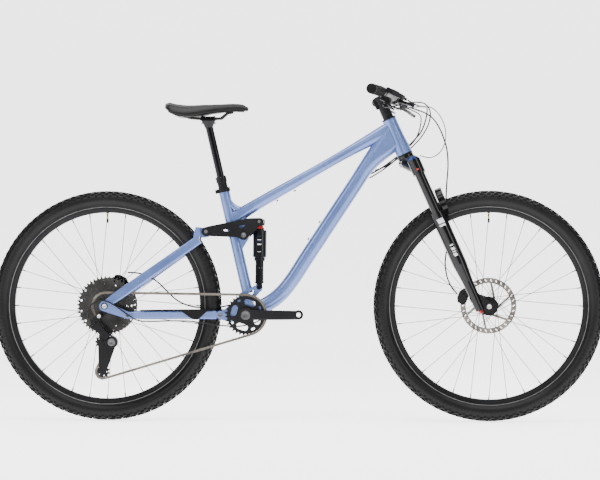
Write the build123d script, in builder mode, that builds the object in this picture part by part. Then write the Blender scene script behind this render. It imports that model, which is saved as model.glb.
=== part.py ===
from build123d import *
import math
import os

os.makedirs("parts", exist_ok=True)

# A full-suspension 29-inch trail bicycle, in millimetres.
# +X is forward, +Y is the bicycle's left, +Z is up, and the drive side is -Y.
# The origin is on the ground, half way between the two axles.

# ---------------------------------------------------------------- driving dimensions
WHEELBASE = 1229.0
TYRE_RADIUS = 370.0
TYRE_WIDTH = 61.0
BEAD_RADIUS = 311.0
SPOKE_COUNT = 32
SPOKE_RADIUS = 0.9

HEAD_ANGLE = 66.0
HEAD_BOTTOM = (344.5, 858.2)
HEAD_LENGTH = 121.0
FORK_TRAVEL = 130.0
STANCHION_RADIUS = 16.0
STANCHION_OFFSET = 18.0
STANCHION_SPREAD = 67.0
LEG_RADIUS = 23.0
CROWN_BOTTOM = -78.0
SEAL_TOP = -214.0

BOTTOM_BRACKET = (-162.5, 341.5)
MAIN_PIVOT = (-245.6, 341.0)
HORST_PIVOT = (-539.2, 340.4)
ROCKER_REAR = (-292.0, 608.6)
ROCKER_FRAME = (-170.7, 597.6)
SHOCK_TOP = (-120.7, 641.0)
SHOCK_BOTTOM = (-123.0, 430.0)

SEAT_TUBE_TOP = (-236.4, 735.7)
SEAT_TUBE_TILT = 13.0
SEAT_TUBE_RADIUS = 17.8
POST_RADIUS = 15.45
POST_INNER_RADIUS = 12.5
DROPPER_TRAVEL = 150.0

FRONT_HUB_WIDTH = 110.0
REAR_HUB_WIDTH = 148.0
FRONT_ROTOR_Y = 42.0
REAR_ROTOR_Y = 57.0
ROTOR_RADIUS = 90.0
ROTOR_THICKNESS = 1.8

BAR_WIDTH = 780.0
GRIP_LENGTH = 130.0
GRIP_RADIUS = 15.5
BAR_END_RADIUS = 11.1
BAR_CENTRE_RADIUS = 15.9

CHAIN_PITCH = 12.7
CHAIN_Y = -51.5
RING_TEETH = 32
DRIVE_COG_TEETH = 21
PULLEY_TEETH = 11
CASSETTE_TEETH = [11, 13, 15, 18, 21, 24, 28, 32, 37, 46]
COG_SPACING = 3.9
COG_THICKNESS = 1.6
ROLLER_RADIUS = 3.85
CRANK_LENGTH = 170.0
CAGE_PIVOT = (-590.1, 255.1)
GUIDE_OFFSET = (-34.8, -0.9)
TENSION_OFFSET = (-31.6, -97.1)

RUNNING = 0.05
APART = 0.4

AXLE_Z = TYRE_RADIUS
FRONT_X = WHEELBASE / 2
REAR_X = -WHEELBASE / 2


# ---------------------------------------------------------------- planes and small helpers
def side(y):
    """A plane seen from the drive side: its x is forward, its y is up, and it extrudes to -Y."""
    return Plane(origin=(0, y, 0), x_dir=(1, 0, 0), z_dir=(0, -1, 0))


def across(x, y, z, angle):
    """A plane across a tube that climbs at this angle: its x is +Y and its y is up off the tube."""
    run = math.radians(angle)
    return Plane(origin=(x, y, z), x_dir=(0, 1, 0), z_dir=(math.cos(run), 0, math.sin(run)))


def wheel_section(x):
    """A plane through a wheel's axle: its x is the radius, straight up, and its y is +Y."""
    return Plane(origin=(x, 0, AXLE_Z), x_dir=(0, 0, 1), z_dir=(-1, 0, 0))


def wheel_axis(x):
    return Axis((x, 0, AXLE_Z), (0, 1, 0))


def barrel(centre, radius, y_from, y_to, mode=Mode.ADD):
    """A round bar along Y at an (x, z) centre, or its hole."""
    with BuildSketch(side(max(y_from, y_to))) as section:
        with Locations(centre):
            Circle(radius)
    extrude(section.sketch, amount=abs(y_to - y_from), mode=mode)


def rod(start, end, radius, mode=Mode.ADD):
    """A round bar between two points in space."""
    run = Vector(*end) - Vector(*start)
    with BuildSketch(Plane(origin=start, z_dir=run)) as section:
        Circle(radius)
    extrude(section.sketch, amount=run.length, mode=mode)


def plate(outline, y_from, y_to, corner=0.0, mode=Mode.ADD):
    """A flat plate with a closed (x, z) outline, between two Y values."""
    with BuildSketch(side(max(y_from, y_to))) as face:
        with BuildLine():
            Polyline(*outline, close=True)
        make_face()
        if corner:
            fillet(face.vertices(), corner)
    extrude(face.sketch, amount=abs(y_to - y_from), mode=mode)


def arm(start, end, start_radius, end_radius, y_from, y_to, mode=Mode.ADD):
    """A flat link with two round ends and straight tangent sides, between two Y values."""
    with BuildSketch(side(max(y_from, y_to))) as outline:
        with Locations(start):
            Circle(start_radius)
        with Locations(end):
            Circle(end_radius)
        make_hull()
    extrude(outline.sketch, amount=abs(y_to - y_from), mode=mode)


def loft_stations(stations, inset, mode=Mode.ADD):
    """Loft rounded sections through (plane, width, depth) stations, made smaller by an inset."""
    sections = []
    for plane, width, depth in stations:
        with BuildSketch(plane) as section:
            corner = 0.42 * min(width, depth) - 0.84 * inset
            RectangleRounded(width - 2 * inset, depth - 2 * inset, corner)
        sections.append(section.sketch)
    loft(sections, mode=mode)


def hollow_tube(stations, wall):
    """A tube that changes its section along its length."""
    loft_stations(stations, 0)
    loft_stations(stations, wall, Mode.SUBTRACT)


def pitch_radius(teeth):
    return CHAIN_PITCH / (2 * math.sin(math.pi / teeth))


def polar(radius, angle):
    """A point of a circle, with its angle in radians."""
    return (radius * math.cos(angle), radius * math.sin(angle))


# ---------------------------------------------------------------- steering frame
head = math.radians(HEAD_ANGLE)
AXIS_UP = Vector(-math.cos(head), 0, math.sin(head))
AXIS_FORWARD = Vector(math.sin(head), 0, math.cos(head))
STEER_ORIGIN = Vector(HEAD_BOTTOM[0], 0, HEAD_BOTTOM[1])


def steer_point(forward, left, up):
    """A point given ahead of, left of and up the steering axis, from the head tube's foot."""
    return STEER_ORIGIN + AXIS_FORWARD * forward + Vector(0, left, 0) + AXIS_UP * up


def steer_plane(forward, left, up):
    """A plane square to the steering axis: its x is forward and its y is +Y."""
    return Plane(origin=steer_point(forward, left, up), x_dir=AXIS_FORWARD, z_dir=AXIS_UP)


def steer_side(left):
    """A plane beside the fork: its x is forward of the axis, its y is up it, and it extrudes to -Y."""
    return Plane(origin=steer_point(0, left, 0), x_dir=AXIS_FORWARD, z_dir=(0, -1, 0))


front_axle_offset = Vector(FRONT_X, 0, AXLE_Z) - STEER_ORIGIN
AXLE_FORWARD = front_axle_offset.dot(AXIS_FORWARD)
AXLE_UP = front_axle_offset.dot(AXIS_UP)

# ---------------------------------------------------------------- frame: head tube
HEAD_TOP_RADIUS = 22.5
HEAD_BOTTOM_RADIUS = 27.2
HEADSET_BORE = 19.5

with BuildPart() as head_tube:
    with BuildSketch(steer_plane(0, 0, 0)):
        Circle(HEAD_BOTTOM_RADIUS)
    with BuildSketch(steer_plane(0, 0, HEAD_LENGTH * 0.45)):
        Circle((HEAD_TOP_RADIUS + HEAD_BOTTOM_RADIUS) / 2 - 1.2)
    with BuildSketch(steer_plane(0, 0, HEAD_LENGTH)):
        Circle(HEAD_TOP_RADIUS)
    loft()
    with BuildSketch(steer_plane(0, 0, 0)):
        Circle(HEADSET_BORE)
    extrude(amount=HEAD_LENGTH, mode=Mode.SUBTRACT)
head_tube.part.label = "head_tube"
export_step(head_tube.part, "parts/head_tube.step")

with BuildPart() as head_core:
    with BuildSketch(steer_plane(0, 0, 0)):
        Circle(HEAD_BOTTOM_RADIUS)
    with BuildSketch(steer_plane(0, 0, HEAD_LENGTH)):
        Circle(HEAD_TOP_RADIUS)
    loft()

# ---------------------------------------------------------------- frame: seat tube
tilt = math.radians(SEAT_TUBE_TILT)
SEAT_UP = Vector(-math.sin(tilt), 0, math.cos(tilt))
SEAT_TOP = Vector(SEAT_TUBE_TOP[0], 0, SEAT_TUBE_TOP[1])
SEAT_TUBE_LENGTH = 335.0
POST_BORE_DEPTH = 320.0


def seat_plane(up):
    """A plane square to the seat tube, measured up from its top edge: its x is forward."""
    forward = Vector(math.cos(tilt), 0, math.sin(tilt))
    return Plane(origin=SEAT_TOP + SEAT_UP * up, x_dir=forward, z_dir=SEAT_UP)


def post_section(radius, up_from, up_to, mode=Mode.ADD):
    """A round piece on the seat tube's line, between two heights from the tube's top edge."""
    with BuildSketch(seat_plane(up_from)) as section:
        Circle(radius)
    extrude(section.sketch, amount=up_to - up_from, mode=mode)


with BuildPart() as seat_tube:
    post_section(SEAT_TUBE_RADIUS, -SEAT_TUBE_LENGTH, 0)
    plate([(-196, 652), (-168, 668), (-150, 612), (-157, 585), (-182, 545), (-196, 560)], -11, 11, 4)
    barrel(ROCKER_FRAME, 14, -24, 24)
    post_section(POST_RADIUS + RUNNING, -POST_BORE_DEPTH, 0, Mode.SUBTRACT)
    barrel(ROCKER_FRAME, 7.05, -24, 24, Mode.SUBTRACT)
seat_tube.part.label = "seat_tube"
export_step(seat_tube.part, "parts/seat_tube.step")

with BuildPart() as seat_core:
    post_section(SEAT_TUBE_RADIUS, -SEAT_TUBE_LENGTH, 0)
    plate([(-196, 652), (-168, 668), (-150, 612), (-157, 585), (-182, 545), (-196, 560)], -11, 11, 4)

# ---------------------------------------------------------------- frame: top tube
TOP_TUBE_ANGLE = 29.7

top_tube_stations = [
    (across(-216, 0, 643, TOP_TUBE_ANGLE), 34, 50),
    (across(-165, 0, 676, TOP_TUBE_ANGLE), 36, 40),
    (across(8.3, 0, 775.7, TOP_TUBE_ANGLE), 42, 33.5),
    (across(180, 0, 873.5, TOP_TUBE_ANGLE), 44, 34.5),
    (across(255, 0, 915, TOP_TUBE_ANGLE), 43, 44),
    (across(300, 0, 939, TOP_TUBE_ANGLE), 38, 50),
]
with BuildPart() as top_tube:
    hollow_tube(top_tube_stations, 2)
    add(head_core.part, mode=Mode.SUBTRACT)
    add(seat_core.part, mode=Mode.SUBTRACT)

with BuildPart() as top_core:
    loft_stations(top_tube_stations, 0)

# ---------------------------------------------------------------- frame: down tube
down_tube_stations = [
    (across(313, 0, 934, 60), 40, 64),
    (across(300, 0, 906, 60), 44, 78),
    (across(262, 0, 862, 57), 50, 66),
    (across(225.5, 0, 820.5, 56.6), 52, 51),
    (across(192.7, 0, 771.3, 56.6), 53, 48.5),
    (across(137.6, 0, 687.8, 56.6), 53, 48.5),
    (across(66, 0, 579.3, 56.6), 54, 48.5),
    (across(22, 0, 512.5, 56.6), 55, 48.5),
    (across(-22, 0, 445.7, 56), 56, 48.5),
    (across(-52, 0, 410, 48), 58, 49),
    (across(-88, 0, 381, 34), 62, 49),
    (across(-128, 0, 361, 20), 66, 44),
]
with BuildPart() as down_tube:
    hollow_tube(down_tube_stations, 2)
    add(head_core.part, mode=Mode.SUBTRACT)
    add(top_core.part, mode=Mode.SUBTRACT)
with BuildPart() as down_core:
    loft_stations(down_tube_stations, 0)
largest = down_tube.part.solids().sort_by(SortBy.VOLUME)[-1]
with BuildPart() as down_tube_body:
    add(largest)
down_tube_body.part.label = "down_tube"
export_step(down_tube_body.part, "parts/down_tube.step")

largest = top_tube.part.solids().sort_by(SortBy.VOLUME)[-1]
with BuildPart() as top_tube_body:
    add(largest)
top_tube_body.part.label = "top_tube"
export_step(top_tube_body.part, "parts/top_tube.step")

# ---------------------------------------------------------------- frame: bottom bracket and pivot lugs
SHELL_RADIUS = 24.0
SHELL_HALF_WIDTH = 36.5
CUP_BODY_RADIUS = 20.4
CUP_FLANGE_RADIUS = 22.0
SPINDLE_RADIUS = 12.0
LUG_INNER_Y = 32.0
LUG_OUTER_Y = 38.5
PIVOT_BOLT_RADIUS = 6.0
SHOCK_EYE_HALF_WIDTH = 11.0
YOKE_OUTER_Y = 18.0

yoke_outline = [(-192, 392), (-186, 410), (-131, 438), (-118, 438), (-113, 422), (-138, 394), (-150, 372), (-180, 372)]
yoke_window = [(-158, 413), (-139, 422), (-142, 409), (-152, 402)]
lug_outline = [(-246, 353), (-228, 362), (-196, 392), (-160, 392), (-150, 350), (-180, 343), (-246, 329)]

with BuildPart() as bottom_bracket_shell:
    barrel(BOTTOM_BRACKET, SHELL_RADIUS, -SHELL_HALF_WIDTH, SHELL_HALF_WIDTH)
    plate([(-196, 352), (-192, 392), (-150, 392), (-128, 362), (-140, 345)], -31, 31, 5)
    plate(yoke_outline, -YOKE_OUTER_Y, YOKE_OUTER_Y, 4)
    for left_or_right in (-1, 1):
        plate(lug_outline, left_or_right * LUG_INNER_Y, left_or_right * LUG_OUTER_Y, 4)
        barrel(MAIN_PIVOT, 12, left_or_right * LUG_INNER_Y, left_or_right * LUG_OUTER_Y)
        plate([(-205, 365), (-205, 392), (-170, 392), (-170, 365)],
              left_or_right * 25, left_or_right * LUG_OUTER_Y)
    plate(yoke_window, -YOKE_OUTER_Y, YOKE_OUTER_Y, 1.5, Mode.SUBTRACT)
    plate([(-152, 448), (-152, 424), (-133, 415.5), (-100, 415.5), (-100, 448)],
          -SHOCK_EYE_HALF_WIDTH - APART, SHOCK_EYE_HALF_WIDTH + APART, 0, Mode.SUBTRACT)
    barrel(SHOCK_BOTTOM, 5.0, -YOKE_OUTER_Y, YOKE_OUTER_Y, Mode.SUBTRACT)
    for left_or_right in (-1, 1):
        barrel(MAIN_PIVOT, PIVOT_BOLT_RADIUS + RUNNING, left_or_right * 25, left_or_right * 45, Mode.SUBTRACT)
    add(seat_core.part, mode=Mode.SUBTRACT)
    add(down_tube_body.part, mode=Mode.SUBTRACT)
    barrel(BOTTOM_BRACKET, CUP_BODY_RADIUS + RUNNING, -SHELL_HALF_WIDTH, SHELL_HALF_WIDTH, Mode.SUBTRACT)
    for left_or_right in (-1, 1):
        barrel(BOTTOM_BRACKET, CUP_FLANGE_RADIUS + APART, left_or_right * SHELL_HALF_WIDTH,
               left_or_right * 45, Mode.SUBTRACT)
    for left_or_right in (-1, 1):
        barrel(BOTTOM_BRACKET, CUP_BODY_RADIUS, left_or_right * 20, left_or_right * 37)
        barrel(BOTTOM_BRACKET, CUP_FLANGE_RADIUS, left_or_right * (SHELL_HALF_WIDTH + 0.05), left_or_right * 43)
    barrel(BOTTOM_BRACKET, SPINDLE_RADIUS + RUNNING, -44, 44, Mode.SUBTRACT)
bottom_bracket_shell.part.label = "bottom_bracket_shell"
export_step(bottom_bracket_shell.part, "parts/bottom_bracket_shell.step")

# ---------------------------------------------------------------- frame: headset cups, clamp, post, fittings
CUP_HEIGHT = 12.0
STEERER_RADIUS = 14.3

with BuildPart() as headset_cups:
    with BuildSketch(steer_plane(0, 0, HEAD_LENGTH)):
        Circle(HEAD_TOP_RADIUS + 1.0)
    extrude(amount=5.0)
    with BuildSketch(steer_plane(0, 0, HEAD_LENGTH - CUP_HEIGHT)):
        Circle(HEADSET_BORE)
    extrude(amount=CUP_HEIGHT)
    with BuildSketch(steer_plane(0, 0, -4.0)):
        Circle(HEAD_BOTTOM_RADIUS - 0.5)
    extrude(amount=4.0)
    with BuildSketch(steer_plane(0, 0, 0)):
        Circle(HEADSET_BORE)
    extrude(amount=CUP_HEIGHT)
    with BuildSketch(steer_plane(0, 0, -10.0)):
        Circle(STEERER_RADIUS + RUNNING)
    extrude(amount=HEAD_LENGTH + 30, mode=Mode.SUBTRACT)
headset_cups.part.label = "headset_cups"
export_step(headset_cups.part, "parts/headset_cups.step")

with BuildPart() as seatpost_outer:
    post_section(POST_RADIUS, -POST_BORE_DEPTH + 5, 33)
    post_section(POST_RADIUS + 1.9, 33, 52)
    post_section(POST_INNER_RADIUS + RUNNING, -POST_BORE_DEPTH + 15, 52, Mode.SUBTRACT)
seatpost_outer.part.label = "seatpost_outer"
export_step(seatpost_outer.part, "parts/seatpost_outer.step")

CLAMP_RADIUS = 21.0
with BuildPart() as frame_fittings:
    post_section(CLAMP_RADIUS, 0.1, 13)
    with BuildSketch(Plane(origin=SEAT_TOP + SEAT_UP * 6.5 + Vector(-21, 0, -4.8), x_dir=(0, 1, 0), z_dir=SEAT_UP)):
        RectangleRounded(22, 12, 3)
    extrude(amount=6, both=True)
    post_section(POST_RADIUS + RUNNING, 0, 14, Mode.SUBTRACT)
    rod(tuple(SEAT_TOP + SEAT_UP * 6.5 + Vector(-23, -15, -5.3)), tuple(SEAT_TOP + SEAT_UP * 6.5 + Vector(-23, 15, -5.3)), 3.2)
    for spot in ((-9.2, 741.5), (-65.3, 709.8)):
        normal = Vector(math.sin(math.radians(TOP_TUBE_ANGLE)), 0, -math.cos(math.radians(TOP_TUBE_ANGLE)))
        foot = Vector(spot[0], 0, spot[1]) - normal * 0.6
        rod(tuple(foot), tuple(foot + normal * 4), 4.5)
    for spot in ((36.6, 584.2), (72.7, 638.9)):
        normal = Vector(-math.sin(math.radians(56.6)), 0, math.cos(math.radians(56.6)))
        foot = Vector(spot[0], 0, spot[1]) - normal * 0.4
        rod(tuple(foot), tuple(foot + normal * 4), 4.5)
    add(top_core.part, mode=Mode.SUBTRACT)
    add(down_tube_body.part, mode=Mode.SUBTRACT)
frame_fittings.part.label = "frame_fittings"
export_step(frame_fittings.part, "parts/frame_fittings.step")

# ---------------------------------------------------------------- fork: crown, steerer and stanchions
STEERER_TOP = 199.0
CROWN_TOP = -14.0

with BuildPart() as fork_uppers:
    with BuildSketch(steer_plane(0, 0, -5.0)):
        Circle(HEAD_BOTTOM_RADIUS - 1.0)
    extrude(amount=-9.0)
    bridge_stations = [(-67, 18, -54, 41, 40), (-36, 6, -33, 56, 36), (0, 0, -27, 62, 27),
                       (36, 6, -33, 56, 36), (67, 18, -54, 41, 40)]
    sections = []
    for left, forward, up, width, depth in bridge_stations:
        with BuildSketch(Plane(origin=steer_point(forward, left, up), x_dir=AXIS_FORWARD,
                               z_dir=(0, 1, 0))) as section:
            RectangleRounded(width, depth, 0.42 * depth)
        sections.append(section.sketch)
    loft(sections, ruled=True)
    for left_or_right in (-1, 1):
        left = left_or_right * STANCHION_SPREAD
        with BuildSketch(steer_plane(STANCHION_OFFSET, left, -30)) as top_face:
            Circle(21)
        extrude(top_face.sketch, amount=CROWN_BOTTOM + 30)
    with BuildSketch(steer_plane(STANCHION_OFFSET, -STANCHION_SPREAD, -29.8)) as spool_seat:
        Circle(18)
    extrude(spool_seat.sketch, amount=20, mode=Mode.SUBTRACT)
    with BuildSketch(steer_plane(0, 0, CROWN_TOP - 8)) as steerer:
        Circle(STEERER_RADIUS)
    extrude(steerer.sketch, amount=STEERER_TOP - CROWN_TOP + 8)
    with BuildSketch(steer_plane(0, 0, CROWN_TOP - 40)) as steerer_bore:
        Circle(STEERER_RADIUS - 2.3)
    extrude(steerer_bore.sketch, amount=STEERER_TOP - CROWN_TOP + 45, mode=Mode.SUBTRACT)
    for left_or_right in (-1, 1):
        left = left_or_right * STANCHION_SPREAD
        with BuildSketch(steer_plane(STANCHION_OFFSET, left, -31)) as bore:
            Circle(STANCHION_RADIUS + 0.02)
        extrude(bore.sketch, amount=CROWN_BOTTOM - 40, mode=Mode.SUBTRACT)
    for left_or_right in (-1, 1):
        left = left_or_right * STANCHION_SPREAD
        with BuildSketch(steer_plane(STANCHION_OFFSET, left, -31.1)) as tube:
            Circle(STANCHION_RADIUS)
            Circle(STANCHION_RADIUS - 2, mode=Mode.SUBTRACT)
        extrude(tube.sketch, amount=-265)
fork_uppers.part.label = "fork_uppers"
export_step(fork_uppers.part, "parts/fork_uppers.step")

# ---------------------------------------------------------------- fork: lower legs, arch and seals
LEG_FOOT = AXLE_UP + 14
LEG_FOOT_RADIUS = 15.0

with BuildPart() as fork_lowers:
    for left_or_right in (-1, 1):
        left = left_or_right * STANCHION_SPREAD
        stations = [(SEAL_TOP - 8, LEG_RADIUS), (-395, LEG_RADIUS - 0.6), (-455, 17), (LEG_FOOT - 14, LEG_FOOT_RADIUS)]
        sections = []
        for up, radius in stations:
            with BuildSketch(steer_plane(STANCHION_OFFSET, left, up)) as ring:
                Circle(radius)
            sections.append(ring.sketch)
        loft(sections, ruled=True)
        with BuildSketch(steer_side(left_or_right * 55.3 if left_or_right < 0 else 74)) as foot:
            with Locations((AXLE_FORWARD, AXLE_UP)):
                Circle(16)
            with Locations((STANCHION_OFFSET, LEG_FOOT + 30)):
                Circle(17)
            make_hull()
        extrude(foot.sketch, amount=18.7)
    with BuildSketch(steer_side(0)) as arch_foot:
        with BuildLine():
            Polyline((10, -268), (16, -228), (36, -223), (40, -190), (50, -176), (61, -196), (52, -232), (34, -272), close=True)
        make_face()
        fillet(arch_foot.vertices(), 5)
    for left_or_right in (-1, 1):
        extrude(arch_foot.sketch.moved(Location((0, left_or_right * 50 + 7, 0))), amount=14)
    arch_path_points = [(-52, -214), (-48, -178), (-30, -156), (0, -149), (30, -156), (48, -178), (52, -214)]
    with BuildLine() as arch_line:
        Spline(*[tuple(steer_point(51 - 0.05 * abs(y), y, up)) for y, up in arch_path_points])
    start = arch_line.line @ 0
    with BuildSketch(Plane(origin=start, x_dir=AXIS_FORWARD, z_dir=arch_line.line % 0)) as arch_section:
        RectangleRounded(24, 11, 4)
    sweep(arch_section.sketch, path=arch_line.line)
    for left_or_right in (-1, 1):
        left = left_or_right * STANCHION_SPREAD
        with BuildSketch(steer_plane(STANCHION_OFFSET, left, SEAL_TOP - 8)) as bore:
            Circle(STANCHION_RADIUS + RUNNING)
        extrude(bore.sketch, amount=-250, mode=Mode.SUBTRACT)
    barrel((FRONT_X, AXLE_Z), 7.5 + RUNNING, -80, 80, Mode.SUBTRACT)
    for left_or_right in (-1, 1):
        left = left_or_right * STANCHION_SPREAD
        with BuildSketch(steer_plane(STANCHION_OFFSET, left, SEAL_TOP - 7.9)) as seal:
            Circle(LEG_RADIUS - 1.5)
            Circle(STANCHION_RADIUS + RUNNING, mode=Mode.SUBTRACT)
        extrude(seal.sketch, amount=7.9)
fork_lowers.part.label = "fork_lowers"
export_step(fork_lowers.part, "parts/fork_lowers.step")

with BuildPart() as front_axle:
    barrel((FRONT_X, AXLE_Z), 7.5, -76, 77)
    barrel((FRONT_X, AXLE_Z), 11.5, -80, -74.1)
    barrel((FRONT_X, AXLE_Z), 10, 74.1, 79)
    barrel((FRONT_X, AXLE_Z), 3, -80, -72, Mode.SUBTRACT)
front_axle.part.label = "front_axle"
export_step(front_axle.part, "parts/front_axle.step")

with BuildPart() as rebound_knob:
    with BuildSketch(steer_plane(STANCHION_OFFSET, -STANCHION_SPREAD, LEG_FOOT - 14.4)):
        Circle(7)
    extrude(amount=-9)
    fillet(rebound_knob.edges().filter_by(GeomType.CIRCLE), 1)
rebound_knob.part.label = "rebound_knob"
export_step(rebound_knob.part, "parts/rebound_knob.step")

with BuildPart() as lockout_spool:
    with BuildSketch(steer_plane(STANCHION_OFFSET, -STANCHION_SPREAD, -29.6)):
        Circle(17)
    extrude(amount=4.5)
    with BuildSketch(steer_plane(STANCHION_OFFSET, -STANCHION_SPREAD, -25.2)):
        Circle(12)
    extrude(amount=4)
    fillet(lockout_spool.edges().filter_by(GeomType.CIRCLE).sort_by(Axis.Z)[-1], 1.2)
lockout_spool.part.label = "lockout_spool"
export_step(lockout_spool.part, "parts/lockout_spool.step")


# ---------------------------------------------------------------- disc brake calipers
CALIPER_REACH = 85.0
PAD_GAP = 1.7


def caliper(axle, angle, rotor_y, half_width):
    """A caliper over a rotor's rim, at an angle round the axle, with its two mounting bolts."""
    turn = math.radians(angle)
    centre = Vector(axle[0] + CALIPER_REACH * math.cos(turn), 0, axle[1] + CALIPER_REACH * math.sin(turn))
    tangent = Vector(math.sin(turn), 0, -math.cos(turn))
    start = centre + Vector(0, rotor_y + half_width, 0)
    with BuildSketch(Plane(origin=start, x_dir=tangent, z_dir=(0, -1, 0))) as profile:
        with BuildLine():
            Polyline((-27, -9), (-23, 13), (-9, 19), (13, 18), (27, 7), (25, -9), (9, -15), (-13, -15), close=True)
        make_face()
        fillet(profile.vertices(), 4)
    extrude(profile.sketch, amount=2 * half_width)
    with BuildSketch(Plane(origin=centre + Vector(0, rotor_y + PAD_GAP, 0), x_dir=tangent,
                           z_dir=(0, -1, 0))) as gap:
        with Locations((0, -8)):
            Rectangle(70, 34)
    extrude(gap.sketch, amount=2 * PAD_GAP, mode=Mode.SUBTRACT)
    for along in (-22, 22):
        foot = centre + tangent * along + Vector(0, rotor_y + half_width + 0.05, 0)
        with BuildSketch(Plane(origin=foot, x_dir=tangent, z_dir=(0, 1, 0))) as head_shape:
            Circle(4)
            RegularPolygon(2.4, 6, mode=Mode.SUBTRACT)
        extrude(head_shape.sketch, amount=3)


FRONT_CALIPER_ANGLE = 160.0
REAR_CALIPER_ANGLE = 66.0
with BuildPart() as front_caliper:
    caliper((FRONT_X, AXLE_Z), FRONT_CALIPER_ANGLE, FRONT_ROTOR_Y, 8.5)
front_caliper.part.label = "front_caliper"
export_step(front_caliper.part, "parts/front_caliper.step")

with BuildPart() as rear_caliper:
    caliper((REAR_X, AXLE_Z), REAR_CALIPER_ANGLE, REAR_ROTOR_Y, 7.5)
rear_caliper.part.label = "rear_caliper"
export_step(rear_caliper.part, "parts/rear_caliper.step")

# ---------------------------------------------------------------- rear triangle: chainstays
STAY_HEIGHT = 27.0
BRIDGE = (-212.0, 326.0)
HORST_BOLT_RADIUS = 5.0

with BuildPart() as chainstays:
    for left_or_right in (-1, 1):
        stations = [
            (across(-533, left_or_right * 66.6, 340.6, 0), 13.4, 21),
            (across(-505, left_or_right * 65.0, 340.8, 0), 14, 26),
            (across(-400, left_or_right * 53.0, 341, 0), 15, STAY_HEIGHT),
            (across(-315, left_or_right * 44.5, 341, 0), 12.5, STAY_HEIGHT),
            (across(-258, left_or_right * 42.8, 341, 0), 8, STAY_HEIGHT),
        ]
        loft_stations(stations, 0)
        barrel(HORST_PIVOT, 11, left_or_right * 60, left_or_right * 73.6)
        barrel(MAIN_PIVOT, 13.4, left_or_right * 39, left_or_right * 46.6)
        arm(MAIN_PIVOT, BRIDGE, 13.4, 8, left_or_right * 39, left_or_right * 46.6)
        barrel(MAIN_PIVOT, PIVOT_BOLT_RADIUS + 0.02, left_or_right * 30, left_or_right * 50, Mode.SUBTRACT)
        barrel(HORST_PIVOT, HORST_BOLT_RADIUS + RUNNING, left_or_right * 58, left_or_right * 75, Mode.SUBTRACT)
    barrel(BRIDGE, 8, -46.6, 46.6)
    for left_or_right in (-1, 1):
        barrel(MAIN_PIVOT, PIVOT_BOLT_RADIUS, left_or_right * 31.6, left_or_right * 46.8)
        barrel(MAIN_PIVOT, 9.5, left_or_right * 46.65, left_or_right * 48.6)
        barrel(MAIN_PIVOT, 3, left_or_right * 46, left_or_right * 48.7, Mode.SUBTRACT)
chainstays.part.label = "chainstays"
export_step(chainstays.part, "parts/chainstays.step")

GUARD_TOP = 341 + STAY_HEIGHT / 2 + 3.2
with BuildPart() as chainstay_guard:
    with BuildSketch(side(-30)) as guard_face:
        with BuildLine():
            Polyline((-500, GUARD_TOP), (-500, 354.7), (-372, 354.7), (-334, 326.5), (-316, 326.5),
                     (-286, 354.7), (-268, 354.7), (-268, GUARD_TOP), (-300, GUARD_TOP + 2),
                     (-420, GUARD_TOP + 1), close=True)
        make_face()
    extrude(guard_face.sketch, amount=42)
    shield = [
        (across(-500.5, -65.0, 341.5, 0), 18.4, 40),
        (across(-400, -53.0, 341.5, 0), 19.4, 41),
        (across(-315, -44.5, 341.5, 0), 17, 41),
        (across(-267, -43.3, 341.5, 0), 13.2, 41),
    ]
    loft_stations(shield, 0, Mode.INTERSECT)
    core = [
        (across(-533, -66.6, 340.6, 0), 13.4, 21),
        (across(-505, -65.0, 340.8, 0), 14, 26),
        (across(-400, -53.0, 341, 0), 15, STAY_HEIGHT),
        (across(-315, -44.5, 341, 0), 12.5, STAY_HEIGHT),
        (across(-258, -42.8, 341, 0), 8, STAY_HEIGHT),
    ]
    loft_stations(core, -0.05, Mode.SUBTRACT)
chainstay_guard.part.label = "chainstay_guard"
export_step(chainstay_guard.part, "parts/chainstay_guard.step")

# ---------------------------------------------------------------- rear triangle: seatstays
STAY_ANGLE = 35.1
DROPOUT_INNER_Y = REAR_HUB_WIDTH / 2
DROPOUT_OUTER_Y = 82.0


def stay_centre(x):
    """The height of the seatstay's centre line at a forward position."""
    return 383 + math.tan(math.radians(STAY_ANGLE)) * (x + 600)


with BuildPart() as seatstays:
    for left_or_right in (-1, 1):
        run = [(-604, 78.1, 7.6, 26), (-578, 75.2, 11, 30), (-540, 71.8, 12.5, 31), (-470, 62.5, 14.5, 31),
               (-380, 48, 14.5, 30.5), (-330, 40.5, 13, 30), (-315, 39.2, 13, 29)]
        stations = [(across(x, left_or_right * y, stay_centre(x), STAY_ANGLE), width, depth)
                    for x, y, width, depth in run]
        loft_stations(stations, 0)
        plate([(-334, 560), (-331, 600), (-325, 624), (-312, 622), (-309.5, 600), (-318, 572)],
              left_or_right * 31.6, left_or_right * 45.5, 3)
        plate([(-307, 589), (-318, 606), (-312, 621), (-294, 621.5), (-280, 607), (-290, 590)],
              left_or_right * 24, left_or_right * 32.4, 3)
        barrel(ROCKER_REAR, 13.5, left_or_right * 24, left_or_right * 32.4)
        arm((REAR_X, AXLE_Z), HORST_PIVOT, 16.5, 11, left_or_right * (DROPOUT_INNER_Y + 0.05),
            left_or_right * DROPOUT_OUTER_Y)
        barrel(HORST_PIVOT, HORST_BOLT_RADIUS + 0.02, left_or_right * 73, left_or_right * 83, Mode.SUBTRACT)
    barrel((REAR_X, AXLE_Z), 6.05, -90, 90, Mode.SUBTRACT)
    barrel(ROCKER_REAR, 9, -40, 40, Mode.SUBTRACT)
    for left_or_right in (-1, 1):
        barrel(HORST_PIVOT, HORST_BOLT_RADIUS, left_or_right * 62, left_or_right * 82)
        barrel(HORST_PIVOT, 7.5, left_or_right * 82.05, left_or_right * 84)
        barrel(HORST_PIVOT, 2.5, left_or_right * 81, left_or_right * 84.1, Mode.SUBTRACT)
seatstays.part.label = "seatstays"
export_step(seatstays.part, "parts/seatstays.step")

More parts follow.
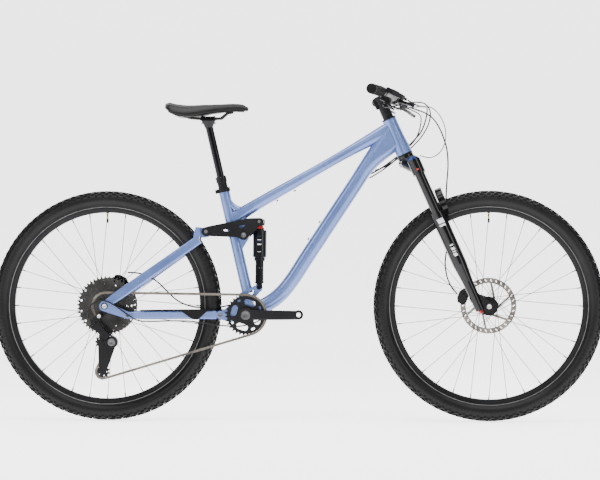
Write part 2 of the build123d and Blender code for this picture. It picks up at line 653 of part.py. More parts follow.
HANGER_BOLT = (-630.6, 338.2)
with BuildPart() as rear_axle:
    barrel((REAR_X, AXLE_Z), 6, -82, 82)
    barrel((REAR_X, AXLE_Z), 10.5, -85, -82.1)
    barrel((REAR_X, AXLE_Z), 10.5, 82.1, 84)
    barrel((REAR_X, AXLE_Z), 3, -85, -78, Mode.SUBTRACT)
    arm((REAR_X, AXLE_Z - 18), HANGER_BOLT, 9, 9.5, -77, -74.05)
    add(seatstays.part, mode=Mode.SUBTRACT)
    barrel(HANGER_BOLT, 5.05, -79, -72, Mode.SUBTRACT)
rear_axle.part.label = "rear_axle"
export_step(rear_axle.part, "parts/rear_axle.step")

# ---------------------------------------------------------------- rocker link
rocker_outline = [(-298, 622), (-284, 626), (-152, 652), (-117, 652.5), (-107, 646), (-108, 628), (-120, 626),
                  (-154, 592), (-170, 583), (-192, 590), (-284, 594), (-300, 596)]
ROCKER_INNER_Y = 33.0
ROCKER_OUTER_Y = 39.0

with BuildPart() as rocker_link:
    for left_or_right in (-1, 1):
        inner = left_or_right * ROCKER_INNER_Y
        outer = left_or_right * ROCKER_OUTER_Y
        plate(rocker_outline, inner, outer, 4)
        barrel(ROCKER_REAR, 14.5, inner, left_or_right * 40)
        barrel(ROCKER_FRAME, 16, left_or_right * 24.4, left_or_right * 40.5)
        barrel(SHOCK_TOP, 11, left_or_right * 11.5, left_or_right * 40)
        arm((-238.5, 613.3), (-218.5, 612.2), 2.7, 2.7, left_or_right * 30, left_or_right * 42, Mode.SUBTRACT)
        plate([(-190, 625.5), (-161, 631), (-177.5, 618.5)], left_or_right * 30, left_or_right * 42, 1.2,
              Mode.SUBTRACT)
    barrel((-149, 641), 7, -34, 34)
    barrel(ROCKER_FRAME, 7, -42, 42)
    barrel(ROCKER_FRAME, 7.05, -24.4, 24.4, Mode.SUBTRACT)
    for left_or_right in (-1, 1):
        for pivot, radius in ((ROCKER_REAR, 9), (ROCKER_FRAME, 11), (SHOCK_TOP, 7)):
            barrel(pivot, radius, left_or_right * 40, left_or_right * 42.4)
            barrel(pivot, 0.42 * radius, left_or_right * 40.6, left_or_right * 43, Mode.SUBTRACT)
    barrel(ROCKER_FRAME, 6.98, -40, 40)
rocker_link.part.label = "rocker_link"
export_step(rocker_link.part, "parts/rocker_link.step")

# ---------------------------------------------------------------- rear shock
CAN_RADIUS = 22.2
SHAFT_RADIUS = 13.4
SHOCK_LINE = Vector(SHOCK_TOP[0] - SHOCK_BOTTOM[0], 0, SHOCK_TOP[1] - SHOCK_BOTTOM[1])
SHOCK_UP = SHOCK_LINE.normalized()


def shock_plane(up):
    """A plane square to the shock, measured up from its lower eye."""
    origin = Vector(SHOCK_BOTTOM[0], 0, SHOCK_BOTTOM[1]) + SHOCK_UP * up
    return Plane(origin=origin, x_dir=(0, 1, 0), z_dir=SHOCK_UP)


def shock_section(radius, up_from, up_to, mode=Mode.ADD):
    with BuildSketch(shock_plane(up_from)) as section:
        Circle(radius)
    extrude(section.sketch, amount=up_to - up_from, mode=mode)


with BuildPart() as shock_can:
    shock_section(CAN_RADIUS, 95, 184)
    chamfer(shock_can.edges().filter_by(GeomType.CIRCLE).sort_by(Axis.Z)[0], 3)
    fillet(shock_can.edges().filter_by(GeomType.CIRCLE).sort_by(Axis.Z)[-1], 3)
    shock_section(17.5, 84, 95.5)
    shock_section(14, 180, 192)
    barrel(SHOCK_TOP, 11.5, -11, 11)
    with BuildSketch(shock_plane(183)) as neck:
        Rectangle(22, 20)
    extrude(neck.sketch, amount=22)
    shock_section(SHAFT_RADIUS + RUNNING, 80, 172, Mode.SUBTRACT)
    barrel(SHOCK_TOP, 5.5, -20, 20, Mode.SUBTRACT)
shock_can.part.label = "shock_can"
export_step(shock_can.part, "parts/shock_can.step")

with BuildPart() as shock_shaft:
    shock_section(SHAFT_RADIUS, 14, 112)
    shock_section(15, 12, 17)
    barrel(SHOCK_BOTTOM, 11, -10.5, 10.5)
    with BuildSketch(shock_plane(4)) as root:
        Rectangle(20, 20)
    extrude(root.sketch, amount=10)
    barrel(SHOCK_BOTTOM, 4.95, -20.5, 20.5)
    for left_or_right in (-1, 1):
        barrel(SHOCK_BOTTOM, 8, left_or_right * 18.4, left_or_right * 21)
shock_shaft.part.label = "shock_shaft"
export_step(shock_shaft.part, "parts/shock_shaft.step")

LEVER_UP = 192.5
with BuildPart() as shock_lever:
    with BuildSketch(Plane(origin=Vector(SHOCK_BOTTOM[0], -24.5, SHOCK_BOTTOM[1]) + SHOCK_UP * LEVER_UP,
                           x_dir=(1, 0, 0), z_dir=(0, -1, 0))) as lever_face:
        SlotCenterToCenter(18, 8)
    extrude(lever_face.sketch, amount=4)
    with BuildSketch(Plane(origin=Vector(SHOCK_BOTTOM[0], -15, SHOCK_BOTTOM[1]) + SHOCK_UP * LEVER_UP,
                           x_dir=(1, 0, 0), z_dir=(0, -1, 0))) as lever_stem:
        Circle(4)
    extrude(lever_stem.sketch, amount=10)
shock_lever.part.label = "shock_lever"
export_step(shock_lever.part, "parts/shock_lever.step")


# ---------------------------------------------------------------- wheels
RIM_INNER_RADIUS = 300.0
RIM_FLANGE_RADIUS = 315.5
BELLY = TYRE_WIDTH / 2 - 0.3


def tyre(x):
    """A tubeless tyre: a thin casing with an open bead, turned about its axle."""
    with BuildSketch(wheel_section(x)) as profile:
        with BuildLine():
            Spline((312.5, -13.4), (319, -15.2), (328, -25.5), (341, -BELLY), (357, -27.8), (366, -19),
                   (TYRE_RADIUS, 0), (366, 19), (357, 27.8), (341, BELLY), (328, 25.5), (319, 15.2), (312.5, 13.4))
            Line((312.5, 13.4), (312.5, 10.5))
            Spline((312.5, 10.5), (320, 12.4), (329, 22), (341, 26.5), (355, 24), (364, 0), (355, -24),
                   (341, -26.5), (329, -22), (320, -12.4), (312.5, -10.5))
            Line((312.5, -10.5), (312.5, -13.4))
        make_face()
    revolve(profile.sketch, axis=wheel_axis(x))


def rim(x):
    """A double-wall rim with hooked flanges and a sealed tyre well."""
    with BuildSketch(wheel_section(x)) as profile:
        with BuildLine() as wall:
            Polyline((RIM_INNER_RADIUS, -7), (RIM_INNER_RADIUS, 7), (304, 12.5), (312, 16.8),
                     (RIM_FLANGE_RADIUS, 17.2), (RIM_FLANGE_RADIUS, 15.6), (312, 14.6), (309.6, 12.4), (309.6, -12.4),
                     (312, -14.6), (RIM_FLANGE_RADIUS, -15.6), (RIM_FLANGE_RADIUS, -17.2), (312, -16.8),
                     (304, -12.5), close=True)
        make_face(wall.edges())
        with BuildLine() as chamber:
            Polyline((302, -6), (302, 6), (305.5, 10.5), (307.4, 11), (307.4, -11), (305.5, -10.5), close=True)
        make_face(chamber.edges(), mode=Mode.SUBTRACT)
    revolve(profile.sketch, axis=wheel_axis(x))


def spokes(x, flanges, hole_radius):
    """Thirty-two spokes laced three-cross between two hub flanges and the rim, with their nipples."""
    per_side = SPOKE_COUNT // 2
    step = 2 * math.pi / per_side
    for number, flange_y in enumerate(flanges):
        outward = 1 if flange_y > 0 else -1
        for index in range(per_side):
            hub_angle = index * step + number * step / 2
            leading = index % 2 == 0
            rim_angle = hub_angle + (3 * step if leading else -3 * step)
            hub_y = flange_y + outward * (3.8 if leading else -2.6)
            hub_x, hub_z = polar(hole_radius, hub_angle)
            rim_x, rim_z = polar(RIM_INNER_RADIUS - 0.6, rim_angle)
            nipple_x, nipple_z = polar(RIM_INNER_RADIUS - 13, rim_angle)
            hub_end = Vector(x + hub_x, hub_y, AXLE_Z + hub_z)
            rim_end = Vector(x + rim_x, outward * 2.0, AXLE_Z + rim_z)
            nipple = rim_end + (hub_end - rim_end).normalized() * 12
            rod(tuple(hub_end), tuple(rim_end), SPOKE_RADIUS)
            rod(tuple(nipple), tuple(rim_end), 1.9)


def hub(x, outline, flanges, hole_radius, bore):
    """A hub turned from an (y, radius) outline, with its spoke flanges."""
    with BuildSketch(wheel_section(x)) as profile:
        with BuildLine():
            Polyline(*[(radius, y) for y, radius in outline], close=True)
        make_face()
    revolve(profile.sketch, axis=wheel_axis(x))
    for flange_y in flanges:
        with BuildSketch(side(flange_y + 1.6)) as flange:
            with Locations((x, AXLE_Z)):
                Circle(hole_radius + 3)
        extrude(flange.sketch, amount=3.2)
    barrel((x, AXLE_Z), bore, -80, 80, Mode.SUBTRACT)


def rotor(x, y):
    """A brake disc with a slotted track, swept arms and a six-bolt carrier."""
    with BuildSketch(side(y + ROTOR_THICKNESS / 2)) as disc:
        with Locations((x, AXLE_Z)):
            Circle(ROTOR_RADIUS)
            Circle(73, mode=Mode.SUBTRACT)
            with PolarLocations(81.5, 30):
                SlotOverall(9, 3.2, rotation=35, mode=Mode.SUBTRACT)
            with PolarLocations(50, 6, start_angle=14):
                SlotOverall(56, 6.5, rotation=28)
            Circle(30)
            Circle(18, mode=Mode.SUBTRACT)
            with PolarLocations(22, 6):
                Circle(2.6, mode=Mode.SUBTRACT)
    extrude(disc.sketch, amount=ROTOR_THICKNESS)
    with BuildSketch(side(y + ROTOR_THICKNESS / 2 + 1.6)) as heads:
        with Locations((x, AXLE_Z)):
            with PolarLocations(22, 6):
                Circle(3.6)
    extrude(heads.sketch, amount=1.6)


FRONT_FLANGES = (-33.0, 24.0)
REAR_FLANGES = (-21.0, 35.0)
FLANGE_HOLE_RADIUS = 27.0

front_hub_outline = [(-54.8, 8), (-54.8, 11), (-46, 12), (-36, 17), (-30, 17), (-14, 13.5), (12, 13.5), (22, 18),
                     (30, 17), (FRONT_ROTOR_Y - 1, 17), (FRONT_ROTOR_Y + 4, 14), (54.8, 11), (54.8, 8)]
rear_hub_outline = [(-27, 6.5), (-27, 19), (-24, 22), (-18, 20), (-8, 16.5), (22, 16.5), (32, 20), (40, 18),
                    (REAR_ROTOR_Y - 1, 17), (REAR_ROTOR_Y + 4, 13), (73.8, 11), (73.8, 6.5)]

with BuildPart() as front_tyre:
    tyre(FRONT_X)
front_tyre.part.label = "front_tyre"
export_step(front_tyre.part, "parts/front_tyre.step")

with BuildPart() as rear_tyre:
    tyre(REAR_X)
rear_tyre.part.label = "rear_tyre"
export_step(rear_tyre.part, "parts/rear_tyre.step")

with BuildPart() as front_rim:
    rim(FRONT_X)
front_rim.part.label = "front_rim"
export_step(front_rim.part, "parts/front_rim.step")

with BuildPart() as rear_rim:
    rim(REAR_X)
rear_rim.part.label = "rear_rim"
export_step(rear_rim.part, "parts/rear_rim.step")

with BuildPart() as front_spokes:
    spokes(FRONT_X, FRONT_FLANGES, FLANGE_HOLE_RADIUS)
front_spokes.part.label = "front_spokes"
export_step(front_spokes.part, "parts/front_spokes.step")

with BuildPart() as rear_spokes:
    spokes(REAR_X, REAR_FLANGES, FLANGE_HOLE_RADIUS)
rear_spokes.part.label = "rear_spokes"
export_step(rear_spokes.part, "parts/rear_spokes.step")

with BuildPart() as front_hub:
    hub(FRONT_X, front_hub_outline, FRONT_FLANGES, FLANGE_HOLE_RADIUS, 7.5 + RUNNING)
front_hub.part.label = "front_hub"
export_step(front_hub.part, "parts/front_hub.step")

with BuildPart() as rear_hub:
    hub(REAR_X, rear_hub_outline, REAR_FLANGES, FLANGE_HOLE_RADIUS, 6 + RUNNING)
rear_hub.part.label = "rear_hub"
export_step(rear_hub.part, "parts/rear_hub.step")

with BuildPart() as front_rotor:
    rotor(FRONT_X, FRONT_ROTOR_Y)
front_rotor.part.label = "front_rotor"
export_step(front_rotor.part, "parts/front_rotor.step")

with BuildPart() as rear_rotor:
    rotor(REAR_X, REAR_ROTOR_Y)
rear_rotor.part.label = "rear_rotor"
export_step(rear_rotor.part, "parts/rear_rotor.step")


# ---------------------------------------------------------------- chain line
def sprocket_outline(teeth, centre, phase, tip_height):
    """The toothed outline of a sprocket, with one tooth's middle at the phase angle, in radians."""
    radius = pitch_radius(teeth)
    marks = [(radius - 4.0, CHAIN_PITCH / 2 - 2.4), (radius, CHAIN_PITCH / 2 - 4.3), (radius + tip_height, 0.9)]
    points = []
    for tooth in range(teeth):
        middle = phase + 2 * math.pi * tooth / teeth
        for reach, half in marks:
            x, z = polar(reach, middle - half / reach)
            points.append((centre[0] + x, centre[1] + z))
        for reach, half in reversed(marks):
            x, z = polar(reach, middle + half / reach)
            points.append((centre[0] + x, centre[1] + z))
    return points


def tangent_points(first, first_turn, second, second_turn):
    """Where the chain leaves one circle and meets the next; a turn is +1 clockwise or -1."""
    (x1, z1, r1), (x2, z2, r2) = first, second
    dx, dz = x2 - x1, z2 - z1
    distance = math.hypot(dx, dz)
    base = math.atan2(dz, dx)
    lean = math.asin((first_turn * r1 - second_turn * r2) / distance)
    normal = base + math.pi / 2 - lean
    start = (x1 + first_turn * r1 * math.cos(normal), z1 + first_turn * r1 * math.sin(normal))
    end = (x2 + second_turn * r2 * math.cos(normal), z2 + second_turn * r2 * math.sin(normal))
    return start, end


def chain_loop(cage_turn):
    """The chain's pitch line as a list of arcs and runs, with the cage turned by an angle in radians."""
    def turned(offset):
        x, z = offset
        return (CAGE_PIVOT[0] + x * math.cos(cage_turn) - z * math.sin(cage_turn),
                CAGE_PIVOT[1] + x * math.sin(cage_turn) + z * math.cos(cage_turn))

    guide, tension = turned(GUIDE_OFFSET), turned(TENSION_OFFSET)
    wheels = [
        (BOTTOM_BRACKET[0], BOTTOM_BRACKET[1], pitch_radius(RING_TEETH), 1),
        (tension[0], tension[1], pitch_radius(PULLEY_TEETH), 1),
        (guide[0], guide[1], pitch_radius(PULLEY_TEETH), -1),
        (REAR_X, AXLE_Z, pitch_radius(DRIVE_COG_TEETH), 1),
    ]
    runs = []
    for index, wheel in enumerate(wheels):
        following = wheels[(index + 1) % 4]
        runs.append(tangent_points(wheel[:3], wheel[3], following[:3], following[3]))
    pieces = []
    for index, (x, z, radius, turn) in enumerate(wheels):
        arrive = runs[index - 1][1]
        leave = runs[index][0]
        begin = math.atan2(arrive[1] - z, arrive[0] - x)
        finish = math.atan2(leave[1] - z, leave[0] - x)
        sweep_angle = (turn * (begin - finish)) % (2 * math.pi)
        pieces.append(("arc", (x, z), radius, begin, -turn * sweep_angle))
        pieces.append(("run", runs[index][0], runs[index][1]))
    return pieces, guide, tension


def piece_length(piece):
    if piece[0] == "arc":
        return piece[2] * abs(piece[4])
    return math.dist(piece[1], piece[2])


def point_on(pieces, distance):
    """The point at a distance along the loop."""
    distance = distance % sum(piece_length(piece) for piece in pieces)
    for piece in pieces:
        length = piece_length(piece)
        if distance <= length:
            share = distance / length
            if piece[0] == "arc":
                x, z = polar(piece[2], piece[3] + piece[4] * share)
                return (piece[1][0] + x, piece[1][1] + z)
            (x1, z1), (x2, z2) = piece[1], piece[2]
            return (x1 + (x2 - x1) * share, z1 + (z2 - z1) * share)
        distance -= length
    return point_on(pieces, 0)


def walk(pieces, count):
    """Pin centres one pitch apart along the loop, and how far the last pin stands past the first."""
    pins = [point_on(pieces, 0)]
    distance = 0.0
    for _ in range(count):
        step = CHAIN_PITCH
        for _ in range(6):
            step += CHAIN_PITCH - math.dist(point_on(pieces, distance + step), pins[-1])
        distance += step
        pins.append(point_on(pieces, distance))
    return pins[:-1], distance - sum(piece_length(piece) for piece in pieces)


loop_length = sum(piece_length(piece) for piece in chain_loop(0)[0])
LINK_COUNT = 2 * round(loop_length / CHAIN_PITCH / 2)
low_turn, high_turn = -0.35, 0.35
for _ in range(30):
    cage_turn = (low_turn + high_turn) / 2
    if walk(chain_loop(cage_turn)[0], LINK_COUNT)[1] > 0:
        high_turn = cage_turn
    else:
        low_turn = cage_turn
loop, GUIDE_PULLEY, TENSION_PULLEY = chain_loop(cage_turn)
pins, chain_gap = walk(loop, LINK_COUNT)
print("chain links", LINK_COUNT, "cage turned", round(math.degrees(cage_turn), 2), "gap", round(chain_gap, 4))
print("pulley centres", [round(value, 3) for value in GUIDE_PULLEY + TENSION_PULLEY])


def tooth_phase(centre, teeth):
    """The angle of a tooth that stands half way between the two pins nearest the middle of the wrap."""
    radius = pitch_radius(teeth)
    wrapped = [pin for pin in pins if abs(math.dist(pin, centre) - radius) < 0.2]
    first = wrapped[len(wrapped) // 2]
    return math.atan2(first[1] - centre[1], first[0] - centre[0]) + math.pi / teeth


# ---------------------------------------------------------------- chain
INNER_PLATE_Y = 1.15
PLATE_THICKNESS = 0.8
PLATE_GAP = 0.05


def link_plane(pin, following, y):
    """A plane at a pin with its x along the link."""
    return Plane(origin=(pin[0], y, pin[1]), x_dir=(following[0] - pin[0], 0, following[1] - pin[1]),
                 z_dir=(0, -1, 0))


def chain_link(pin, following, outer):
    """One link: two plates with either two pins or two rollers."""
    gap = INNER_PLATE_Y + (PLATE_THICKNESS + PLATE_GAP if outer else 0)
    plane = link_plane(pin, following, CHAIN_Y)
    for way in (-1, 1):
        with BuildSketch(plane.offset(way * (gap + PLATE_THICKNESS / 2) - PLATE_THICKNESS / 2)) as face:
            with Locations((CHAIN_PITCH / 2, 0)):
                SlotOverall(CHAIN_PITCH + 7.6, 7.6)
            if not outer:
                with Locations((0, 0), (CHAIN_PITCH, 0)):
                    Circle(1.85, mode=Mode.SUBTRACT)
        extrude(face.sketch, amount=PLATE_THICKNESS)
    reach = gap + PLATE_THICKNESS if outer else INNER_PLATE_Y
    with BuildSketch(plane.offset(-reach)) as rollers:
        with Locations((0, 0), (CHAIN_PITCH, 0)):
            Circle(1.8 if outer else ROLLER_RADIUS - 0.25)
            if not outer:
                Circle(1.85, mode=Mode.SUBTRACT)
    extrude(rollers.sketch, amount=2 * reach)


link_solids = []
for index, pin in enumerate(pins):
    with BuildPart(mode=Mode.PRIVATE) as link:
        chain_link(pin, pins[(index + 1) % LINK_COUNT], index % 2 == 1)
    link_solids.extend(link.part.solids())
with BuildPart() as chain:
    add(link_solids)
chain.part.label = "chain"
export_step(chain.part, "parts/chain.step")

# ---------------------------------------------------------------- cassette, chainring and cranks
with BuildPart() as cassette:
    for index, teeth in enumerate(CASSETTE_TEETH):
        middle_y = CHAIN_Y + (index - CASSETTE_TEETH.index(DRIVE_COG_TEETH)) * COG_SPACING
        phase = tooth_phase((REAR_X, AXLE_Z), DRIVE_COG_TEETH) if teeth == DRIVE_COG_TEETH else index * 0.3
        radius = pitch_radius(teeth)
        with BuildSketch(side(middle_y + COG_THICKNESS / 2)) as cog:
            with BuildLine():
                Polyline(*sprocket_outline(teeth, (REAR_X, AXLE_Z), phase, 3.2), close=True)
            make_face()
            with Locations((REAR_X, AXLE_Z)):
                if teeth > 20:
                    with PolarLocations(radius - 10.5, teeth // 3):
                        Circle(3.4, mode=Mode.SUBTRACT)
                if teeth > 30:
                    with PolarLocations(radius - 24, teeth // 4):
                        Circle(4.2, mode=Mode.SUBTRACT)
        extrude(cog.sketch, amount=COG_THICKNESS)
    barrel((REAR_X, AXLE_Z), 18.5, -70, -30)
    barrel((REAR_X, AXLE_Z), 14, -70.5, -66, Mode.SUBTRACT)
    barrel((REAR_X, AXLE_Z), 6 + RUNNING, -72, -26, Mode.SUBTRACT)
cassette.part.label = "cassette"
export_step(cassette.part, "parts/cassette.step")

RING_THICKNESS = 2.0
with BuildPart() as chainring:
    phase = tooth_phase(BOTTOM_BRACKET, RING_TEETH)
    with BuildSketch(side(CHAIN_Y + RING_THICKNESS / 2)) as ring:
        with BuildLine():
            Polyline(*sprocket_outline(RING_TEETH, BOTTOM_BRACKET, phase, 3.2), close=True)
        make_face()
        with Locations(BOTTOM_BRACKET):
            with PolarLocations(40, 4, start_angle=72):
                SlotOverall(38, 20, rotation=90, mode=Mode.SUBTRACT)
            with PolarLocations(50, 4, start_angle=27):
                SlotOverall(13, 7, rotation=90, mode=Mode.SUBTRACT)
            Circle(17.5, mode=Mode.SUBTRACT)
    extrude(ring.sketch, amount=RING_THICKNESS)
chainring.part.label = "chainring"
export_step(chainring.part, "parts/chainring.step")

PEDAL_THREAD_RADIUS = 7.1
ARM_INNER_Y = 56.0
right_pedal = (BOTTOM_BRACKET[0] + CRANK_LENGTH, BOTTOM_BRACKET[1] + 1.2)
left_pedal = (BOTTOM_BRACKET[0] - CRANK_LENGTH, BOTTOM_BRACKET[1] - 1.2)


def crank_arm(pedal, way):
    """A crank arm that bows outward from the spindle to the pedal's eye."""
    reach = pedal[0] - BOTTOM_BRACKET[0]
    run = [(0.10, 62, 15, 33), (0.35, 67, 13.5, 31), (0.7, 73.5, 12.5, 30), (0.96, 76.5, 12, 28)]
    sections = []
    for share, y, width, depth in run:
        with BuildSketch(across(BOTTOM_BRACKET[0] + reach * share, way * y, BOTTOM_BRACKET[1], 0)) as section:
            RectangleRounded(width, depth, 4.5)
        sections.append(section.sketch)
    loft(sections)
    barrel(BOTTOM_BRACKET, 23.5, way * ARM_INNER_Y, way * 69)
    barrel(pedal, 15.2, way * 70.6, way * 82.4)


with BuildPart() as crank_arm_right:
    crank_arm(right_pedal, -1)
    barrel(BOTTOM_BRACKET, 17.4, -56.5, -43.2)
    barrel(right_pedal, PEDAL_THREAD_RADIUS, -90, -65, Mode.SUBTRACT)
    barrel(BOTTOM_BRACKET, SPINDLE_RADIUS + 0.02, -66, -40, Mode.SUBTRACT)
    barrel(BOTTOM_BRACKET, 9, -72, -66, Mode.SUBTRACT)
crank_arm_right.part.label = "crank_arm_right"
export_step(crank_arm_right.part, "parts/crank_arm_right.step")

with BuildPart() as crank_arm_left:
    crank_arm(left_pedal, 1)
    barrel(BOTTOM_BRACKET, SPINDLE_RADIUS, -66, 60)
    barrel(BOTTOM_BRACKET, 17, 43.2, 57)
    barrel(left_pedal, PEDAL_THREAD_RADIUS, 65, 90, Mode.SUBTRACT)
    barrel(BOTTOM_BRACKET, 8, -67, 40, Mode.SUBTRACT)
    barrel(BOTTOM_BRACKET, 8, -67.5, -55)
    barrel(BOTTOM_BRACKET, 4, -68, -60, Mode.SUBTRACT)
crank_arm_left.part.label = "crank_arm_left"
export_step(crank_arm_left.part, "parts/crank_arm_left.step")

# ---------------------------------------------------------------- stem
STEM_LENGTH = 40.0
STEM_CLAMP_UP = 165.0
STEM_CLAMP_HEIGHT = 34.0
BAR_UP = 181.0
STEM_HALF_WIDTH = 23.0

with BuildPart() as stem:
    with BuildSketch(steer_plane(0, 0, STEM_CLAMP_UP)) as clamp_ring:
        Circle(18.6)
        with Locations((-19, 0)):
            RectangleRounded(11, 24, 3)
    extrude(clamp_ring.sketch, amount=STEM_CLAMP_HEIGHT)
    neck_sections = []
    for forward, up, width, height in ((8, 182, 35, 33), (20, 181.5, 36, 28), (30, BAR_UP, 46, 38)):
        with BuildSketch(Plane(origin=steer_point(forward, 0, up), x_dir=(0, 1, 0), z_dir=AXIS_FORWARD)) as section:
            RectangleRounded(width, height, 6)
        neck_sections.append(section.sketch)
    loft(neck_sections, ruled=True)
    with BuildSketch(steer_side(STEM_HALF_WIDTH)) as jaw:
        with Locations((STEM_LENGTH, BAR_UP)):
            Circle(20.5)
            Rectangle(20, 46)
        with Locations((STEM_LENGTH + 20.5, BAR_UP)):
            Rectangle(40, 60, mode=Mode.SUBTRACT)
    extrude(jaw.sketch, amount=2 * STEM_HALF_WIDTH)
    with BuildSketch(steer_side(30)) as bar_hole:
        with Locations((STEM_LENGTH, BAR_UP)):
            Circle(BAR_CENTRE_RADIUS + RUNNING)
    extrude(bar_hole.sketch, amount=60, mode=Mode.SUBTRACT)
    with BuildSketch(steer_plane(0, 0, STEM_CLAMP_UP - 1)) as steerer_hole:
        Circle(STEERER_RADIUS + RUNNING)
    extrude(steerer_hole.sketch, amount=40, mode=Mode.SUBTRACT)
    with BuildSketch(steer_plane(-20, 0, STEM_CLAMP_UP - 1)) as split:
        Rectangle(14, 1.6)
    extrude(split.sketch, amount=40, mode=Mode.SUBTRACT)
    with BuildSketch(steer_side(STEM_HALF_WIDTH)) as faceplate:
        with Locations((STEM_LENGTH, BAR_UP)):
            Circle(20.5)
        with Locations((STEM_LENGTH + 5, BAR_UP)):
            Rectangle(9, 46)
        with Locations((STEM_LENGTH - 19, BAR_UP)):
            Rectangle(40, 60, mode=Mode.SUBTRACT)
        with Locations((STEM_LENGTH, BAR_UP)):
            Circle(BAR_CENTRE_RADIUS + RUNNING, mode=Mode.SUBTRACT)
    extrude(faceplate.sketch, amount=2 * STEM_HALF_WIDTH)
    for left in (-16, 16):
        for up in (BAR_UP - 20, BAR_UP + 20):
            start = steer_point(STEM_LENGTH + 9, left, up)
            rod(tuple(start), tuple(start + AXIS_FORWARD * 3.5), 4)
            rod(tuple(start + AXIS_FORWARD * 1.5), tuple(start + AXIS_FORWARD * 4), 2, Mode.SUBTRACT)
    for up in (STEM_CLAMP_UP + 7, STEM_CLAMP_UP + 21):
        start = steer_point(-20.5, -14.5, up)
        rod(tuple(start), tuple(start + Vector(0, 4, 0)), 3.6)
        rod(tuple(start), tuple(start + Vector(0, 1.8, 0)), 1.8, Mode.SUBTRACT)
    for up in (126.2, 139.2, 152.2):
        with BuildSketch(steer_plane(0, 0, up)) as spacer:
            Circle(17.5)
            Circle(STEERER_RADIUS + RUNNING, mode=Mode.SUBTRACT)
        extrude(spacer.sketch, amount=12.6)
    with BuildSketch(steer_plane(0, 0, STEERER_TOP + 0.1)) as cap:
        Circle(17.2)
    extrude(cap.sketch, amount=4)
    with BuildSketch(steer_plane(0, 0, STEERER_TOP + 2)) as cap_bolt:
        Circle(3.2)
    extrude(cap_bolt.sketch, amount=4, mode=Mode.SUBTRACT)
stem.part.label = "stem"
export_step(stem.part, "parts/stem.step")

# ---------------------------------------------------------------- handlebar and grips
SWEEP = 0.183
BAR_RISE = 5.2
BEND_Y = 60.0
bar_centre = steer_point(STEM_LENGTH, 0, BAR_UP)


def bar_point(y):
    """A point of the handlebar's centre line at a left-hand position."""
    reach = abs(y)
    blend = min(max((reach - 35) / 75, 0), 1)
    back = SWEEP * max(reach - BEND_Y, 0)
    if 35 < reach < 85:
        back = SWEEP * (reach - 35) ** 2 / 100
    return Vector(bar_centre.X - back, y, bar_centre.Z + BAR_RISE * blend * blend * (3 - 2 * blend))


def bar_section(y, radius):
    """A round section square to the handlebar."""
    lean = bar_point(y + 0.5) - bar_point(y - 0.5)
    with BuildSketch(Plane(origin=bar_point(y), x_dir=(0, 0, 1), z_dir=lean)) as section:
        Circle(radius)
    return section.sketch


def bar_run(side_sign, reach_from, reach_to, radius, mode=Mode.ADD):
    """A round piece along the straight outer part of the handlebar."""
    rod(tuple(bar_point(side_sign * reach_from)), tuple(bar_point(side_sign * reach_to)), radius, mode)


with BuildPart() as handlebar:
    rod(tuple(bar_point(-32)), tuple(bar_point(32)), BAR_CENTRE_RADIUS)
    for left_or_right in (-1, 1):
        taper = [(31, 15.9), (48, 14.9), (62, 13.9), (76, 12.9), (92, 11.7), (112, BAR_END_RADIUS)]
        loft([bar_section(left_or_right * reach, radius) for reach, radius in taper])
        bar_run(left_or_right, 112, BAR_WIDTH / 2, BAR_END_RADIUS)
        bar_run(left_or_right, 116, BAR_WIDTH / 2 + 1, BAR_END_RADIUS - 2.2, Mode.SUBTRACT)
handlebar.part.label = "handlebar"
export_step(handlebar.part, "parts/handlebar.step")

GRIP_INNER = BAR_WIDTH / 2 - GRIP_LENGTH - 2
with BuildPart() as grips:
    for left_or_right in (-1, 1):
        grip_outer = GRIP_INNER + GRIP_LENGTH
        bar_run(left_or_right, GRIP_INNER, grip_outer, GRIP_RADIUS)
        for reach in (GRIP_INNER, GRIP_INNER + 15):
            bar_run(left_or_right, reach, reach + 7, GRIP_RADIUS + 1.2)
        bar_run(left_or_right, grip_outer - 6, grip_outer + 4, GRIP_RADIUS + 0.6)
        bar_run(left_or_right, GRIP_INNER - 2, BAR_WIDTH / 2 + 0.3, BAR_END_RADIUS + RUNNING, Mode.SUBTRACT)
grips.part.label = "grips"
export_step(grips.part, "parts/grips.step")

# ---------------------------------------------------------------- brake levers and their clamps
LEVER_DROP = math.radians(27)
LEVER_DOWN = Vector(math.cos(LEVER_DROP), 0, -math.sin(LEVER_DROP))
LEVER_UP_WAY = Vector(math.sin(LEVER_DROP), 0, math.cos(LEVER_DROP))
CONTROL_Y = 235.0


def control_plane(left_or_right, height):
    """The plane the brake lever swings in: x runs ahead and down from the bar, y is +Y."""
    origin = bar_point(left_or_right * CONTROL_Y) + LEVER_UP_WAY * height
    return Plane(origin=origin, x_dir=LEVER_DOWN, z_dir=LEVER_UP_WAY)


def control_point(left_or_right, ahead, outward, height):
    """A point near a lever, ahead of the bar, outward from the clamp and above the lever's plane."""
    start = bar_point(left_or_right * CONTROL_Y) + LEVER_UP_WAY * height
    return start + LEVER_DOWN * ahead + Vector(0, left_or_right * outward, 0)


def control_plate(left_or_right, outline, low, high, corner=0.0, mode=Mode.ADD):
    """A flat piece in the lever's plane, between two heights."""
    with BuildSketch(control_plane(left_or_right, low)) as face:
        with BuildLine():
            Polyline(*[(ahead, left_or_right * outward) for ahead, outward in outline], close=True)
        make_face()
        if corner:
            fillet(face.vertices(), corner)
    extrude(face.sketch, amount=high - low, mode=mode)


def control_pin(left_or_right, ahead, outward, radius, low, high, mode=Mode.ADD):
    with BuildSketch(control_plane(left_or_right, low)) as pin:
        with Locations((ahead, left_or_right * outward)):
            Circle(radius)
    extrude(pin.sketch, amount=high - low, mode=mode)


BRAKE_PIVOT = (62.0, -20.0)
SHIFT_PIVOT = (28.0, -46.0)
DROPPER_PIVOT = (24.0, -34.0)
BLADE_BOTTOM = -4.0
BLADE_TOP = 5.6

